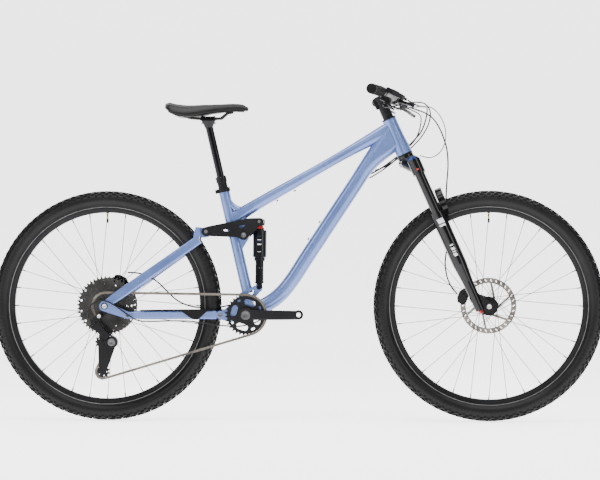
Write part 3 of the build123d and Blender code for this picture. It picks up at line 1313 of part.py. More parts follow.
master_outline = [(9, -40), (9, 8), (30, 11), (66, -4), (72, -13), (72, -38), (58, -50), (22, -50)]
with BuildPart() as bar_clamps:
    for left_or_right in (-1, 1):
        bar_run(left_or_right, CONTROL_Y - 8, CONTROL_Y + 8, 15.8)
        control_plate(left_or_right, master_outline, 7, 21.5, 5)
        control_pin(left_or_right, 40, -26, 11, 21, 24)
        control_pin(left_or_right, 55, -26, 3, 21, 23)
        control_pin(left_or_right, *BRAKE_PIVOT, 2.5, BLADE_BOTTOM - 0.4, 8)
        control_pin(left_or_right, *BRAKE_PIVOT, 5, BLADE_BOTTOM - 2.9, BLADE_BOTTOM - 0.4)
        rod(tuple(control_point(left_or_right, 70, -33, 14)), tuple(control_point(left_or_right, 81, -33, 14)), 4.5)
    bar_run(-1, 196, 206, 14.6)
    control_plate(-1, [(4, -62), (4, -32), (38, -30), (44, -44), (36, -64)], -22, -11, 4)
    control_plate(-1, [(0, -39), (0, -30), (12, -30), (12, -39)], -14, -2)
    control_pin(-1, *SHIFT_PIVOT, 4, -35.5, -20)
    control_pin(-1, *SHIFT_PIVOT, 6.5, -38, -35.2)
    bar_run(1, 202, 212, 14.6)
    control_plate(1, [(2, -40), (2, -24), (28, -24), (32, -40)], -20, -10, 4)
    control_plate(1, [(0, -33), (0, -24), (12, -24), (12, -33)], -14, -2)
    control_pin(1, *DROPPER_PIVOT, 3.5, -26.4, -18)
    control_pin(1, *DROPPER_PIVOT, 5.5, -28.6, -26)
    for left_or_right in (-1, 1):
        bar_run(left_or_right, 160, 250, BAR_END_RADIUS + RUNNING, Mode.SUBTRACT)
bar_clamps.part.label = "bar_clamps"
export_step(bar_clamps.part, "parts/bar_clamps.step")

blade_outline = [(55, -28), (69, -30), (84, -6), (97, 25), (100, 58), (110, 88), (116, 96), (109, 101), (101, 90),
                 (90, 62), (87, 30), (74, 4), (60, -10)]


def brake_blade(left_or_right):
    control_plate(left_or_right, blade_outline, BLADE_BOTTOM, BLADE_TOP, 3)
    control_pin(left_or_right, *BRAKE_PIVOT, 2.5 + RUNNING, BLADE_BOTTOM - 1, BLADE_TOP + 1, Mode.SUBTRACT)


with BuildPart() as brake_lever_right:
    brake_blade(-1)
brake_lever_right.part.label = "brake_lever_right"
export_step(brake_lever_right.part, "parts/brake_lever_right.step")

with BuildPart() as brake_lever_left:
    brake_blade(1)
brake_lever_left.part.label = "brake_lever_left"
export_step(brake_lever_left.part, "parts/brake_lever_left.step")

with BuildPart() as shift_lever:
    control_plate(-1, [(20, -52), (36, -52), (48, -28), (62, -4), (60, 8), (48, 4), (38, -22), (20, -40)],
                  -34.8, -29.6, 3.5)
    control_pin(-1, *SHIFT_PIVOT, 4 + RUNNING, -36, -28, Mode.SUBTRACT)
shift_lever.part.label = "shift_lever"
export_step(shift_lever.part, "parts/shift_lever.step")

with BuildPart() as release_lever:
    control_plate(-1, [(20, -54), (36, -54), (56, -30), (74, -8), (72, 4), (62, 0), (50, -22), (20, -40)],
                  -27.4, -22.6, 3.5)
    control_pin(-1, *SHIFT_PIVOT, 4 + RUNNING, -29, -21, Mode.SUBTRACT)
release_lever.part.label = "release_lever"
export_step(release_lever.part, "parts/release_lever.step")

with BuildPart() as dropper_lever:
    control_plate(1, [(16, -42), (32, -40), (44, -18), (54, 6), (46, 14), (38, 2), (28, -18), (16, -26)],
                  -25.6, -20.6, 3.5)
    control_pin(1, *DROPPER_PIVOT, 3.5 + RUNNING, -27, -20, Mode.SUBTRACT)
dropper_lever.part.label = "dropper_lever"
export_step(dropper_lever.part, "parts/dropper_lever.step")

# ---------------------------------------------------------------- saddle and the sliding post
RAIL_RADIUS = 3.5
RAIL_SPREAD = 22.0
RAIL_Z = 973.0
BOLT_X = (-306.0, -268.0)

# forward position, half width, edge height and crown height above the edge
saddle_run = [(-427, 36, 1009, 11), (-413, 62, 997, 29), (-388, 71, 985, 35), (-355, 70, 981, 35),
              (-318, 56, 985, 32), (-280, 38, 993, 25), (-240, 27, 997.5, 22), (-200, 21.5, 1000, 21.5),
              (-172, 18, 999, 18), (-157, 11, 999, 8)]


def saddle_section(x, half_width, edge, crown):
    """A crowned section with a flat underside."""
    with BuildSketch(Plane(origin=(x, 0, edge), x_dir=(0, 1, 0), z_dir=(1, 0, 0))) as section:
        with BuildLine():
            Spline((-half_width, 0), (-0.9 * half_width, 0.5 * crown), (-0.6 * half_width, 0.85 * crown), (0, crown),
                   (0.6 * half_width, 0.85 * crown), (0.9 * half_width, 0.5 * crown), (half_width, 0))
            Line((half_width, 0), (-half_width, 0))
        make_face()
    return section.sketch


with BuildPart() as saddle_pad:
    loft([saddle_section(*station) for station in saddle_run])
saddle_pad.part.label = "saddle_pad"
export_step(saddle_pad.part, "parts/saddle_pad.step")

with BuildPart() as saddle_base:
    sections = []
    for x, half_width, edge, crown in saddle_run[1:-1]:
        with BuildSketch(Plane(origin=(x, 0, edge - 3.2), x_dir=(0, 1, 0), z_dir=(1, 0, 0))) as section:
            RectangleRounded(1.8 * half_width, 4, 1.5)
        sections.append(section.sketch)
    loft(sections, ruled=True)
    for left_or_right in (-1, 1):
        rail = [(-208, left_or_right * 12, 993), (-226, left_or_right * 15, 990), (-246, left_or_right * RAIL_SPREAD, RAIL_Z),
                (-322, left_or_right * RAIL_SPREAD, RAIL_Z), (-350, left_or_right * 26, 976),
                (-378, left_or_right * 34, 983.5)]
        with BuildLine() as rail_line:
            FilletPolyline(*rail, radius=[12, 9, 60, 60])
        with BuildSketch(Plane(origin=rail_line.line @ 0, z_dir=rail_line.line % 0)) as rail_section:
            Circle(RAIL_RADIUS)
        sweep(rail_section.sketch, path=rail_line.line)
    add(saddle_pad.part, mode=Mode.SUBTRACT)
saddle_base.part.label = "saddle_base"
export_step(saddle_base.part, "parts/saddle_base.step")

POST_TOP = 226.0
with BuildPart() as seatpost_inner:
    post_section(POST_INNER_RADIUS, -155, POST_TOP)
    with BuildSketch(seat_plane(214)) as neck_low:
        Circle(POST_INNER_RADIUS + 0.8)
    with BuildSketch(Plane(origin=(-287, 0, 966), x_dir=(1, 0, 0), z_dir=(0, 0, 1))) as neck_high:
        RectangleRounded(46, 40, 8)
    loft([neck_low.sketch, neck_high.sketch], ruled=True)
    with BuildSketch(Plane(origin=(-287, 0, 965.5), x_dir=(1, 0, 0), z_dir=(0, 0, 1))) as cradle:
        RectangleRounded(50, 58, 4)
    extrude(cradle.sketch, amount=7.2)
    with BuildSketch(Plane(origin=(-287, 0, 973.3), x_dir=(1, 0, 0), z_dir=(0, 0, 1))) as clamp_top:
        RectangleRounded(46, 58, 4)
    extrude(clamp_top.sketch, amount=6)
    for x in BOLT_X:
        rod((x, 0, 956), (x, 0, 981.5), 2.6)
        rod((x, 0, 956), (x, 0, 960.5), 4.6)
        rod((x, -8, 979.4), (x, 8, 979.4), 3.2)
    for left_or_right in (-1, 1):
        rod((-330, left_or_right * RAIL_SPREAD, RAIL_Z), (-246, left_or_right * RAIL_SPREAD, RAIL_Z),
            RAIL_RADIUS + RUNNING, Mode.SUBTRACT)
    add(saddle_base.part, mode=Mode.SUBTRACT)
seatpost_inner.part.label = "seatpost_inner"
export_step(seatpost_inner.part, "parts/seatpost_inner.step")

# ---------------------------------------------------------------- rear derailleur
LINK_ANGLE = math.radians(-46.7)
LINK_WAY = Vector(math.cos(LINK_ANGLE), 0, math.sin(LINK_ANGLE))
PIN_WAY = Vector(-math.sin(LINK_ANGLE), 0, math.cos(LINK_ANGLE))
LINK_START = Vector(-641.0, 0, 309.0)
LINK_REACH = 52.0
OUTER_PIN_Y = -92.0
INNER_PIN_Y = -77.0
PIN_RADIUS = 2.5
LINK_HALF_WIDTH = 11.0
EAR_THICKNESS = 3.5


def swing_plane(up):
    """The plane the parallelogram swings in: x runs down the links and y is +Y."""
    return Plane(origin=LINK_START + PIN_WAY * up, x_dir=LINK_WAY, z_dir=PIN_WAY)


def swing_link(y, half_width, end_radius):
    """One link of the parallelogram, with its two pin holes."""
    with BuildSketch(swing_plane(-half_width)) as face:
        with Locations((0, y), (LINK_REACH, y)):
            Circle(end_radius)
        make_hull()
        with Locations((0, y), (LINK_REACH, y)):
            Circle(PIN_RADIUS + RUNNING, mode=Mode.SUBTRACT)
    extrude(face.sketch, amount=2 * half_width)


def knuckle_ears(along, web_way):
    """The two ears, pins and web that carry both links at one end."""
    for low in (-LINK_HALF_WIDTH - EAR_THICKNESS - 0.4, LINK_HALF_WIDTH + 0.4):
        with BuildSketch(swing_plane(low)) as ear:
            with Locations((along, OUTER_PIN_Y), (along, INNER_PIN_Y), (along + web_way * 9, OUTER_PIN_Y + 4),
                           (along + web_way * 9, INNER_PIN_Y - 4)):
                Circle(4.6)
            make_hull()
        extrude(ear.sketch, amount=EAR_THICKNESS)
    web = LINK_HALF_WIDTH + EAR_THICKNESS + 0.4
    with BuildSketch(swing_plane(-web)) as back:
        with Locations((along + web_way * 10.5, (OUTER_PIN_Y + INNER_PIN_Y) / 2)):
            Rectangle(6, 16)
    extrude(back.sketch, amount=2 * web)
    with BuildSketch(swing_plane(-web)) as pins_face:
        with Locations((along, OUTER_PIN_Y), (along, INNER_PIN_Y)):
            Circle(PIN_RADIUS)
    extrude(pins_face.sketch, amount=2 * web)


with BuildPart() as b_knuckle:
    knuckle_ears(0, -1)
    heel = LINK_START - LINK_WAY * 15
    arm(HANGER_BOLT, (heel.X, heel.Z), 9.5, 7, -77.4, -92)
    barrel(HANGER_BOLT, 5, -73, -78)
    barrel(HANGER_BOLT, 7.5, -92, -94.5)
    barrel(HANGER_BOLT, 3, -92, -95, Mode.SUBTRACT)
    barrel((-655, 325), 4, -82, -90)
b_knuckle.part.label = "b_knuckle"
export_step(b_knuckle.part, "parts/b_knuckle.step")

with BuildPart() as outer_link:
    swing_link(OUTER_PIN_Y, LINK_HALF_WIDTH, 4.4)
outer_link.part.label = "outer_link"
export_step(outer_link.part, "parts/outer_link.step")

with BuildPart() as inner_link:
    swing_link(INNER_PIN_Y, LINK_HALF_WIDTH, 4.2)
inner_link.part.label = "inner_link"
export_step(inner_link.part, "parts/inner_link.step")

P_KNUCKLE_INNER_Y = -63.0
with BuildPart() as p_knuckle:
    knuckle_ears(LINK_REACH, 1)
    barrel(CAGE_PIVOT, 19, P_KNUCKLE_INNER_Y, -92)
    barrel(CAGE_PIVOT, 15, -92, -95)
    with BuildSketch(swing_plane(-13)) as relief:
        with Locations((LINK_REACH - 20, -84)):
            Rectangle(52, 26)
    extrude(relief.sketch, amount=24.8, mode=Mode.SUBTRACT)
    with BuildSketch(swing_plane(-11.2)) as pins_again:
        with Locations((LINK_REACH, OUTER_PIN_Y), (LINK_REACH, INNER_PIN_Y)):
            Circle(PIN_RADIUS)
    extrude(pins_again.sketch, amount=22.4)
    barrel(CAGE_PIVOT, 5 + RUNNING, -62, -80, Mode.SUBTRACT)
p_knuckle.part.label = "p_knuckle"
export_step(p_knuckle.part, "parts/p_knuckle.step")

CAGE_OUTER_Y = (-58.0, -60.0)
CAGE_INNER_Y = (-43.5, -45.5)
with BuildPart() as cage:
    with BuildSketch(side(CAGE_OUTER_Y[0])) as outer_face:
        with Locations(GUIDE_PULLEY, CAGE_PIVOT):
            Circle(13)
        with Locations(TENSION_PULLEY):
            Circle(12)
        make_hull()
    extrude(outer_face.sketch, amount=2)
    with BuildSketch(side(CAGE_INNER_Y[0])) as inner_face:
        with Locations(GUIDE_PULLEY):
            Circle(11)
        with Locations(TENSION_PULLEY):
            Circle(11)
        make_hull()
    extrude(inner_face.sketch, amount=2)
    for centre in (GUIDE_PULLEY, TENSION_PULLEY):
        barrel(centre, 2.5, CAGE_INNER_Y[0], CAGE_OUTER_Y[1])
        barrel(centre, 4.5, CAGE_OUTER_Y[1], CAGE_OUTER_Y[1] - 1.6)
    barrel(CAGE_PIVOT, 5, CAGE_OUTER_Y[0], -79)
    barrel(CAGE_PIVOT, 12, CAGE_OUTER_Y[1], P_KNUCKLE_INNER_Y + 0.4)
cage.part.label = "cage"
export_step(cage.part, "parts/cage.step")


def pulley(centre):
    """A jockey wheel with its teeth between the cage plates."""
    with BuildSketch(side(CHAIN_Y + COG_THICKNESS / 2)) as wheel:
        with BuildLine():
            Polyline(*sprocket_outline(PULLEY_TEETH, centre, tooth_phase(centre, PULLEY_TEETH), 2.6), close=True)
        make_face()
        with Locations(centre):
            Circle(PIN_RADIUS + RUNNING, mode=Mode.SUBTRACT)
            with PolarLocations(12, 5):
                Circle(2.6, mode=Mode.SUBTRACT)
    extrude(wheel.sketch, amount=COG_THICKNESS)
    barrel(centre, 6.5, CAGE_INNER_Y[1] - 0.5, CAGE_OUTER_Y[0] + 0.5)
    barrel(centre, PIN_RADIUS + RUNNING, CAGE_INNER_Y[1], CAGE_OUTER_Y[0], Mode.SUBTRACT)


with BuildPart() as guide_pulley:
    pulley(GUIDE_PULLEY)
guide_pulley.part.label = "guide_pulley"
export_step(guide_pulley.part, "parts/guide_pulley.step")

with BuildPart() as tension_pulley:
    pulley(TENSION_PULLEY)
tension_pulley.part.label = "tension_pulley"
export_step(tension_pulley.part, "parts/tension_pulley.step")

# ---------------------------------------------------------------- hoses and housings
HOSE_RADIUS = 2.5
HOUSING_RADIUS = 2.2
THIN_RADIUS = 1.6


def tube_along(points, radius):
    """A round tube through points, its straight runs joined by the largest arcs that fit."""
    marks = [Vector(*point) for point in points]
    radii = []
    for before, here, after in zip(marks, marks[1:], marks[2:]):
        arriving, leaving = here - before, after - here
        turn = math.radians(arriving.get_angle(leaving))
        radii.append(0.45 * min(arriving.length, leaving.length) / math.tan(turn / 2))
    with BuildLine() as route:
        FilletPolyline(*marks, radius=radii)
    with BuildSketch(Plane(origin=route.line @ 0, z_dir=route.line % 0)) as section:
        Circle(radius)
    with BuildPart(mode=Mode.PRIVATE) as tube:
        sweep(section.sketch, path=route.line)
    length = sum(edge.length for edge in route.edges())
    expected = math.pi * radius ** 2 * length
    print("tube", round(length), "mm, radii", [round(value) for value in radii],
          "volume share", round(tube.part.volume / expected, 4))
    return tube.part


rear_brake_start = control_point(-1, 84.5, -33, 14)
shift_start = control_point(-1, 42, -69, -16)
front_brake_start = control_point(1, 84.5, -33, 14)
dropper_start = control_point(1, 28, -46, -15)

with BuildPart() as control_cables:
    add(tube_along([tuple(rear_brake_start), (386, -172, 1004), (407, -118, 1003), (417, -58, 1006), (418, 2, 997),
                    (412, 32, 964), (398, 41, 928), (366, 42, 894), (318, 41, 848), (272, 34, 815), (238, 12, 795)],
                   HOSE_RADIUS))
    add(tube_along([tuple(shift_start), (340, -140, 1003), (372, -98, 992), (393, -46, 984), (399, 5, 972),
                    (394, 31, 938), (380, 34, 905), (343, 34, 866), (300, 34, 826), (262, 28, 799), (232, 8, 781)],
                   HOUSING_RADIUS))
    add(tube_along([tuple(dropper_start), (330, 152, 1024), (372, 118, 1032), (412, 76, 1026), (430, 42, 996),
                    (423, 45, 955), (400, 51, 915), (366, 50, 879), (322, 47, 843), (280, 38, 817), (250, 16, 806)],
                   HOUSING_RADIUS))
    add(down_core.part, mode=Mode.SUBTRACT)
    add(top_core.part, mode=Mode.SUBTRACT)
control_cables.part.label = "control_cables"
export_step(control_cables.part, "parts/control_cables.step")

with BuildPart() as rear_cables:
    add(tube_along([(-556, 60, 476), (-524, 56, 475), (-490, 51, 466), (-458, 48, 447), (-427, 47, 416),
                    (-392, 48, 382), (-345, 47, 364), (-295, 44, 362), (-250, 43, 364), (-205, 44, 374),
                    (-160, 42, 385), (-120, 32, 386), (-90, 16, 384)], HOSE_RADIUS))
    add(tube_along([(-664, -86.5, 329), (-669, -87.5, 350), (-655, -89, 378), (-615, -90, 391), (-577, -90, 371),
                    (-540, -89, 343), (-507, -81, 322), (-460, -72, 321), (-400, -66, 323), (-342, -58, 322),
                    (-290, -48, 314), (-235, -38, 306), (-180, -28, 303), (-127, -20, 318), (-92, -14, 345),
                    (-62, -8, 385)], HOUSING_RADIUS))
    add(down_core.part, mode=Mode.SUBTRACT)
rear_cables.part.label = "rear_cables"
export_step(rear_cables.part, "parts/rear_cables.step")

with BuildPart() as fork_lines:
    add(tube_along([tuple(front_brake_start), (388, 184, 1008), (412, 146, 997), (438, 112, 978), (462, 93, 938),
                    (482, 92, 880), (486, 95, 825), (481, 96, 770), (478, 96, 710), (484, 96, 650), (489, 95, 595),
                    (480, 91, 548), (474, 70, 504), (482, 54, 457), (498, 50, 425), (514, 48, 408)], HOSE_RADIUS))
    add(tube_along([tuple(control_point(1, 6, -60, -15)), (330, 124, 1010), (380, 92, 1014), (428, 66, 1016),
                    (460, 34, 984), (477, 4, 940), (477, -22, 896), (458, -40, 858), (426, -52, 842),
                    (394, -62, 851)], THIN_RADIUS))
fork_lines.part.label = "fork_lines"
export_step(fork_lines.part, "parts/fork_lines.step")
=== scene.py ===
import bpy
import math
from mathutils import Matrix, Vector


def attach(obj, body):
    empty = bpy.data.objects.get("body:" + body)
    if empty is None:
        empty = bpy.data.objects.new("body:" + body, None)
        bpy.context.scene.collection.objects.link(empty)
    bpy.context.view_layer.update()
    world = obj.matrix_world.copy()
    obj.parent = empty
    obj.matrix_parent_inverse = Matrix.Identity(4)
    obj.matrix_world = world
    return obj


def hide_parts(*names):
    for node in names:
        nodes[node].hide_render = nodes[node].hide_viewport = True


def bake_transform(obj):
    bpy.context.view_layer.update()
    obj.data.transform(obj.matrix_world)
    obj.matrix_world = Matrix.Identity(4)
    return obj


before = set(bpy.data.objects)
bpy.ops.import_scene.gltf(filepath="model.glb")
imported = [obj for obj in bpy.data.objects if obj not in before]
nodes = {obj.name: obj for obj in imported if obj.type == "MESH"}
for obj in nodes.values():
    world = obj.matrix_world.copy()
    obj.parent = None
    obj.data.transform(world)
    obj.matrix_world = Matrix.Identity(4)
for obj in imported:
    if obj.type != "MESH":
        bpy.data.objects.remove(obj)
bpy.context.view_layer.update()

scene = bpy.context.scene

# lengths and places are in metres: +X forward, +Y the bicycle's left, +Z up
AXLE_Z = 0.370
FRONT_X = 0.6145
REAR_X = -0.6145
KNOBS_PER_ROW = 96
SIDEWALL_RIBS = 180
TYRE_STEPS = 240
STITCHES = 58
STITCH_PITCH = 0.0042
SEAM_SHARE = 0.665
STITCH_SHARE = 0.70
CROWN_POWER = 3.2
CROWN_ROUNDING = 0.62
PRINT_THICKNESS = 0.00022
CAMERA_YAW = math.radians(2.92)
CAMERA_TARGET = Vector((0.0083, 0, 0.5816))
CAMERA_DISTANCE = 8.0
CAMERA_LENS = 149.04
FLOOR_GLOW = 2.4
WORLD_GLOW = 0.18


# ------------------------------------------------------------ materials
def finish_material(name, dark, light, rough, metal=0.0, scale=60.0, bump=0.05, coat=0.0, spread=0.06,
                    stretch=(1, 1, 1), sheen=0.0, specular=0.3):
    """A finish: coarse and fine noise vary its colour, coarse its roughness and fine its relief."""
    made = bpy.data.materials.new(name)
    made.use_nodes = True
    tree = made.node_tree
    shader = tree.nodes["Principled BSDF"]
    place = tree.nodes.new("ShaderNodeTexCoord")
    mapping = tree.nodes.new("ShaderNodeMapping")
    mapping.inputs["Scale"].default_value = stretch
    tree.links.new(place.outputs["Object"], mapping.inputs["Vector"])
    coarse = tree.nodes.new("ShaderNodeTexNoise")
    coarse.inputs["Scale"].default_value = scale * 0.12
    coarse.inputs["Detail"].default_value = 4
    fine = tree.nodes.new("ShaderNodeTexNoise")
    fine.inputs["Scale"].default_value = scale * 14
    fine.inputs["Detail"].default_value = 3
    for noise in (coarse, fine):
        tree.links.new(mapping.outputs["Vector"], noise.inputs["Vector"])
    mixed = tree.nodes.new("ShaderNodeMix")
    mixed.inputs["Factor"].default_value = 0.35
    tree.links.new(coarse.outputs["Fac"], mixed.inputs["A"])
    tree.links.new(fine.outputs["Fac"], mixed.inputs["B"])
    ramp = tree.nodes.new("ShaderNodeValToRGB")
    ramp.color_ramp.elements[0].position = 0.3
    ramp.color_ramp.elements[0].color = (*dark, 1)
    ramp.color_ramp.elements[1].position = 0.7
    ramp.color_ramp.elements[1].color = (*light, 1)
    tree.links.new(mixed.outputs["Result"], ramp.inputs["Fac"])
    tree.links.new(ramp.outputs["Color"], shader.inputs["Base Color"])
    gloss = tree.nodes.new("ShaderNodeMapRange")
    gloss.inputs["To Min"].default_value = max(rough - spread, 0.02)
    gloss.inputs["To Max"].default_value = min(rough + spread, 1)
    tree.links.new(coarse.outputs["Fac"], gloss.inputs["Value"])
    tree.links.new(gloss.outputs["Result"], shader.inputs["Roughness"])
    relief = tree.nodes.new("ShaderNodeBump")
    relief.inputs["Strength"].default_value = bump
    relief.inputs["Distance"].default_value = 0.0004
    tree.links.new(fine.outputs["Fac"], relief.inputs["Height"])
    tree.links.new(relief.outputs["Normal"], shader.inputs["Normal"])
    shader.inputs["Metallic"].default_value = metal
    shader.inputs["Coat Weight"].default_value = coat
    shader.inputs["Coat Roughness"].default_value = 0.06
    shader.inputs["Sheen Weight"].default_value = sheen
    shader.inputs["Specular IOR Level"].default_value = specular
    return made


PAINT = finish_material("frame_paint", (0.075, 0.12, 0.30), (0.115, 0.175, 0.40), 0.27, 0.5, 90, 0.03,
                        0.5, specular=0.4)
SATIN = finish_material("black_alloy", (0.0025, 0.0025, 0.003), (0.0075, 0.0075, 0.0085), 0.34, 0.0, 80,
                        0.06, 0.0, specular=0.12)
GLOSS = finish_material("gloss_black", (0.0015, 0.0015, 0.002), (0.004, 0.004, 0.005), 0.15, 0.0, 60,
                        0.02, 0.12, specular=0.22)
STANCHION = finish_material("stanchion", (0.004, 0.004, 0.005), (0.009, 0.009, 0.011), 0.1, 0.5, 50, 0.01,
                            0.1, specular=0.25)
ROTOR = finish_material("rotor_steel", (0.10, 0.085, 0.075), (0.27, 0.24, 0.215), 0.33, 1.0, 140, 0.08)
CHAIN = finish_material("chain_steel", (0.035, 0.03, 0.026), (0.22, 0.195, 0.17), 0.34, 0.9, 160, 0.1)
COGS = finish_material("cassette_steel", (0.012, 0.012, 0.012), (0.06, 0.058, 0.056), 0.34, 0.85, 150,
                       0.08)
SPOKE = finish_material("spoke_black", (0.004, 0.004, 0.005), (0.014, 0.014, 0.015), 0.32, 0.5, 120, 0.04)
TREAD = finish_material("tyre_tread", (0.002, 0.002, 0.002), (0.008, 0.008, 0.008), 0.62, 0.0, 120, 0.4,
                        specular=0.07)
SIDEWALL = finish_material("tyre_side", (0.002, 0.002, 0.0025), (0.0065, 0.0065, 0.007), 0.38, 0.0, 90,
                           0.2, specular=0.16)
LINE = finish_material("tyre_line", (0.10, 0.10, 0.10), (0.2, 0.2, 0.2), 0.5, 0.0, 200, 0.2)
GRIP = finish_material("grip_rubber", (0.002, 0.002, 0.002), (0.008, 0.008, 0.008), 0.6, 0.0, 150, 0.6,
                       specular=0.08)
JACKET = finish_material("cable_jacket", (0.002, 0.002, 0.002), (0.005, 0.005, 0.006), 0.3, 0.0, 90, 0.06,
                         0.1, specular=0.15)
COVER = finish_material("saddle_cover", (0.0025, 0.0025, 0.0025), (0.009, 0.009, 0.009), 0.5, 0.0, 110,
                        0.55, 0, 0.08, (1, 1, 1), 0.02, specular=0.1)
COVER_SIDE = finish_material("saddle_side", (0.003, 0.003, 0.003), (0.009, 0.009, 0.009), 0.36, 0.0, 60,
                             0.12, 0.08, specular=0.14)
SHELL = finish_material("saddle_shell", (0.0025, 0.0025, 0.0025), (0.008, 0.008, 0.008), 0.45, 0.0, 90,
                        0.25, specular=0.1)
RED = finish_material("red_anodised", (0.28, 0.006, 0.006), (0.45, 0.015, 0.014), 0.28, 0.7, 90, 0.03,
                      0.2)
BLUE = finish_material("blue_anodised", (0.006, 0.02, 0.11), (0.012, 0.04, 0.2), 0.28, 0.6, 90, 0.03, 0.2)
WHITE = finish_material("white_print", (0.5, 0.51, 0.53), (0.64, 0.65, 0.67), 0.4, 0.0, 90, 0.03)
GREY = finish_material("grey_satin", (0.05, 0.05, 0.053), (0.11, 0.11, 0.115), 0.34, 0.7, 110, 0.05)
BRIGHT = finish_material("bright_steel", (0.4, 0.4, 0.4), (0.62, 0.62, 0.61), 0.22, 1.0, 120, 0.04)
BRASS = finish_material("brass", (0.45, 0.30, 0.11), (0.62, 0.44, 0.18), 0.28, 1.0, 90, 0.04)
GUARD = finish_material("guard_rubber", (0.002, 0.002, 0.002), (0.007, 0.007, 0.007), 0.55, 0.0, 90, 0.4,
                        specular=0.1)

looks = {
    PAINT: ["head_tube", "seat_tube", "down_tube", "top_tube", "bottom_bracket_shell", "chainstays",
            "seatstays"],
    GLOSS: ["fork_lowers", "fork_uppers", "shock_can", "front_caliper", "rear_caliper"],
    STANCHION: ["shock_shaft", "seatpost_inner"],
    SPOKE: ["front_spokes", "rear_spokes"],
    ROTOR: ["front_rotor", "rear_rotor"],
    CHAIN: ["chain"],
    COGS: ["cassette"],
    JACKET: ["control_cables", "rear_cables", "fork_lines", "guide_pulley", "tension_pulley"],
    GRIP: ["grips"],
    SHELL: ["saddle_base"],
    RED: ["rebound_knob", "shock_lever"],
    BLUE: ["lockout_spool"],
    GUARD: ["chainstay_guard"],
}
coloured = set()
for material, names in looks.items():
    for name in names:
        nodes[name].data.materials.clear()
        nodes[name].data.materials.append(material)
        coloured.add(name)
for name, thing in nodes.items():
    if name not in coloured:
        thing.data.materials.clear()
        thing.data.materials.append(SATIN)


# ------------------------------------------------------------ mesh helpers
def mesh_piece(name, points, faces, materials, body=None, smooth=True):
    """A mesh object in the row frame that rides on a body."""
    data = bpy.data.meshes.new(name)
    data.from_pydata([tuple(p) for p in points], [], faces)
    data.update()
    for material in materials:
        data.materials.append(material)
    thing = bpy.data.objects.new(name, data)
    scene.collection.objects.link(thing)
    if smooth:
        data.shade_smooth()
    if body:
        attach(thing, body)
    return thing


def lathe(profile, centre, steps, marks):
    """Turn a closed (radius, y) outline about an axle; marks give each outline edge its material."""
    points = []
    faces = []
    kinds = []
    count = len(profile)
    for step in range(steps):
        angle = 2 * math.pi * step / steps
        for radius, y in profile:
            points.append((centre[0] + radius * math.cos(angle), y, centre[1] + radius * math.sin(angle)))
    for step in range(steps):
        here = step * count
        there = ((step + 1) % steps) * count
        for index in range(count):
            following = (index + 1) % count
            faces.append((here + index, here + following, there + following, there + index))
            kinds.append(marks[index])
    return points, faces, kinds


# ------------------------------------------------------------ tyres
def knob(points, faces, centre, angle, y, lean, length, width, base, height, skew=0.0):
    """One tread block: a tapered box that stands on the casing, leaning outward on the shoulder."""
    radial = Vector((math.cos(angle), 0, math.sin(angle)))
    along = Vector((-math.sin(angle), 0, math.cos(angle)))
    out = (radial * math.cos(lean) + Vector((0, math.sin(lean), 0))).normalized()
    side = along.cross(out).normalized()
    origin = Vector((centre[0], y, centre[1])) + radial * base
    first = len(points)
    for level, taper in ((-0.0012, 1.12), (height - 0.0005, 0.94), (height, 0.84)):
        for a, b in ((-1, -1), (1, -1), (1, 1), (-1, 1)):
            spot = (origin + out * level + along * (a * length / 2 * taper + b * skew)
                    + side * (b * width / 2 * taper))
            points.append(spot)
    for level in (0, 4):
        for corner in range(4):
            after = (corner + 1) % 4
            faces.append((first + level + corner, first + level + after, first + level + 4 + after,
                          first + level + 4 + corner))
    faces.append((first + 8, first + 9, first + 10, first + 11))
    faces.append((first + 3, first + 2, first + 1, first))


